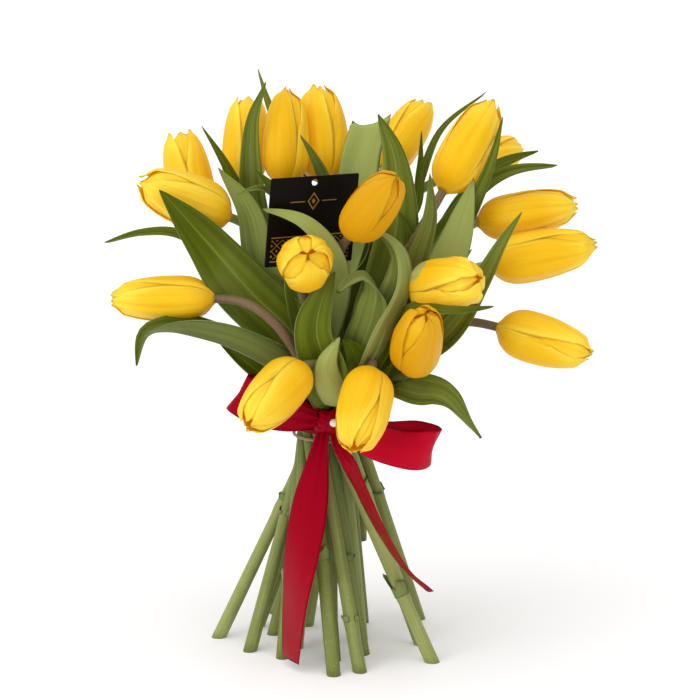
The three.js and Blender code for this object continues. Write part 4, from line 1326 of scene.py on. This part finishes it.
class TULIPS_OT_card(bpy.types.Operator):
    """Cut and print the card that stands between the flowers."""

    bl_idname = "tulips.card"
    bl_label = "Card"

    def execute(self, context):
        settings = context.scene.tulip_card
        width, height, thickness = settings.width, settings.height, CARD_THICKNESS * MM
        bm = new_mesh()
        sheet = bmesh.ops.create_grid(bm, x_segments=1, y_segments=1, size=0.5)["verts"]
        bmesh.ops.scale(bm, vec=(width, height, 1), verts=sheet)
        bevel = {"profile": 0.5, "material": -1}
        bmesh.ops.bevel(bm, geom=sheet, offset=CARD_CORNER * MM, segments=4, affect="VERTICES", **bevel)
        bmesh.ops.delete(bm, geom=list(bm.faces), context="FACES_ONLY")
        hole = bmesh.ops.create_circle(bm, segments=28, radius=settings.hole)["verts"]
        bmesh.ops.translate(bm, verts=hole, vec=(0, height / 2 - HOLE_FROM_TOP * MM, 0))
        bmesh.ops.triangle_fill(bm, edges=list(bm.edges), use_beauty=True)
        bmesh.ops.recalc_face_normals(bm, faces=list(bm.faces))
        bmesh.ops.solidify(bm, geom=list(bm.faces), thickness=thickness)
        bm.normal_update()
        uv = bm.loops.layers.uv.active
        front = min(vert.co.z for vert in bm.verts)
        for vert in bm.verts:
            vert.co.z -= front + thickness / 2
        for face in bm.faces:
            face.material_index = 0 if face.normal.z > 0.9 else 1
            for loop in face.loops:
                loop[uv].uv = (loop.vert.co.x / width + 0.5, loop.vert.co.y / height + 0.5)
        rims = [edge for edge in bm.edges if edge.calc_face_angle(0) > 1]
        bmesh.ops.bevel(bm, geom=rims, offset=0.0001, segments=1, affect="EDGES", **bevel)
        self.stand_up(bm)
        piece = finish_piece(bm, "printed_card", [card_finish(settings), board_finish()], ["card"])
        for face in piece.data.polygons:
            face.use_smooth = False
        return {"FINISHED"}

    def stand_up(self, bm):
        """Turns the card, made flat with its print up, so that the print faces the viewer and leans back."""
        verts = list(bm.verts)
        for axis, angle in (("X", 90 - CARD_LEAN), ("Z", CARD_TURN)):
            turn = Matrix.Rotation(math.radians(angle), 3, axis)
            bmesh.ops.rotate(bm, cent=(0, 0, 0), matrix=turn, verts=verts)
        bmesh.ops.translate(bm, verts=verts, vec=at(CARD_MIDDLE))


class TULIPS_OT_stage(bpy.types.Operator):
    """Set the pale floor, the soft lights and the camera."""

    bl_idname = "tulips.stage"
    bl_label = "Stage"

    def execute(self, context):
        settings = context.scene.tulip_stage
        bm = new_mesh()
        bmesh.ops.create_grid(bm, x_segments=4, y_segments=4, size=20)
        mesh = bpy.data.meshes.new("floor")
        bm.to_mesh(mesh)
        bm.free()
        finish = Finish("floor")
        mesh.materials.append(finish.surface(
            base_color=settings.floor, roughness=0.9, specular_ior_level=0.1,
            emission_color=(1.0, 1.0, 1.0), emission_strength=settings.glow))
        floor = bpy.data.objects.new("floor", mesh)
        context.scene.collection.objects.link(floor)
        world = context.scene.world or bpy.data.worlds.new("studio")
        context.scene.world = world
        world.use_nodes = True
        background = world.node_tree.nodes["Background"].inputs
        background["Color"].default_value = (1, 1, 1, 1)
        background["Strength"].default_value = settings.daylight
        context.scene.view_settings.view_transform = "Standard"
        self.add_sun(context, "softbox", (-0.3, -0.5, 1.6), 80, settings.softbox)
        self.add_sun(context, "side light", (-1.0, -0.9, 0.55), 45, settings.softbox * 0.6)
        self.add_sun(context, "fill", (0.9, -1.4, 0.9), 80, settings.softbox * 0.2)
        camera = bpy.data.objects.new("camera", bpy.data.cameras.new("camera"))
        context.scene.collection.objects.link(camera)
        camera.data.lens, camera.data.sensor_width = settings.lens, 36
        tilt = math.radians(CAMERA_TILT)
        back, higher = CAMERA_DISTANCE * math.cos(tilt), CAMERA_DISTANCE * math.sin(tilt)
        camera.location = at((CAMERA_AIM_X, -back, CAMERA_AIM_Z + higher))
        camera.rotation_euler = (math.pi / 2 - tilt, 0, 0)
        context.scene.camera = camera
        return {"FINISHED"}

    def add_sun(self, context, name, place, spread, strength):
        """A soft light that comes from the way of a place, spread over an angle in degrees."""
        data = bpy.data.lights.new(name, "SUN")
        data.angle, data.energy = math.radians(spread), strength
        light = bpy.data.objects.new(name, data)
        light.rotation_euler = (-Vector(place)).to_track_quat("-Z", "Y").to_euler()
        context.scene.collection.objects.link(light)


class TULIPS_PT_panel(bpy.types.Panel):
    """Lists the bunch's pieces and their settings."""

    bl_label = "Tulips"
    bl_idname = "TULIPS_PT_panel"
    bl_space_type = "VIEW_3D"
    bl_region_type = "UI"
    bl_category = "Tulips"

    def draw(self, context):
        for operator, groups in STEPS.items():
            self.layout.operator(operator)
            for group in groups:
                settings = getattr(context.scene, group)
                for name in settings.__annotations__:
                    self.layout.prop(settings, name)


STEPS = {
    "tulips.flowers": ("tulip_bloom", "tulip_stem"),
    "tulips.leaves": ("tulip_leaf",),
    "tulips.bow": ("tulip_ribbon",),
    "tulips.card": ("tulip_card",),
    "tulips.stage": ("tulip_stage",),
}
GROUPS = {
    "tulip_bloom": BloomSettings,
    "tulip_stem": StemSettings,
    "tulip_leaf": LeafSettings,
    "tulip_ribbon": RibbonSettings,
    "tulip_card": CardSettings,
    "tulip_stage": StageSettings,
}
OPERATORS = [TULIPS_OT_flowers, TULIPS_OT_leaves, TULIPS_OT_bow, TULIPS_OT_card, TULIPS_OT_stage]
CLASSES = [*GROUPS.values(), *OPERATORS, TULIPS_PT_panel]


def register():
    for each in CLASSES:
        bpy.utils.register_class(each)
    for name, group in GROUPS.items():
        setattr(bpy.types.Scene, name, PointerProperty(type=group))


def unregister():
    for name in GROUPS:
        delattr(bpy.types.Scene, name)
    for each in reversed(CLASSES):
        bpy.utils.unregister_class(each)


def main():
    register()
    bpy.ops.tulips.stage()
    bpy.ops.tulips.flowers()
    bpy.ops.tulips.leaves()
    bpy.ops.tulips.bow()
    bpy.ops.tulips.card()


if __name__ == "__main__":
    main()
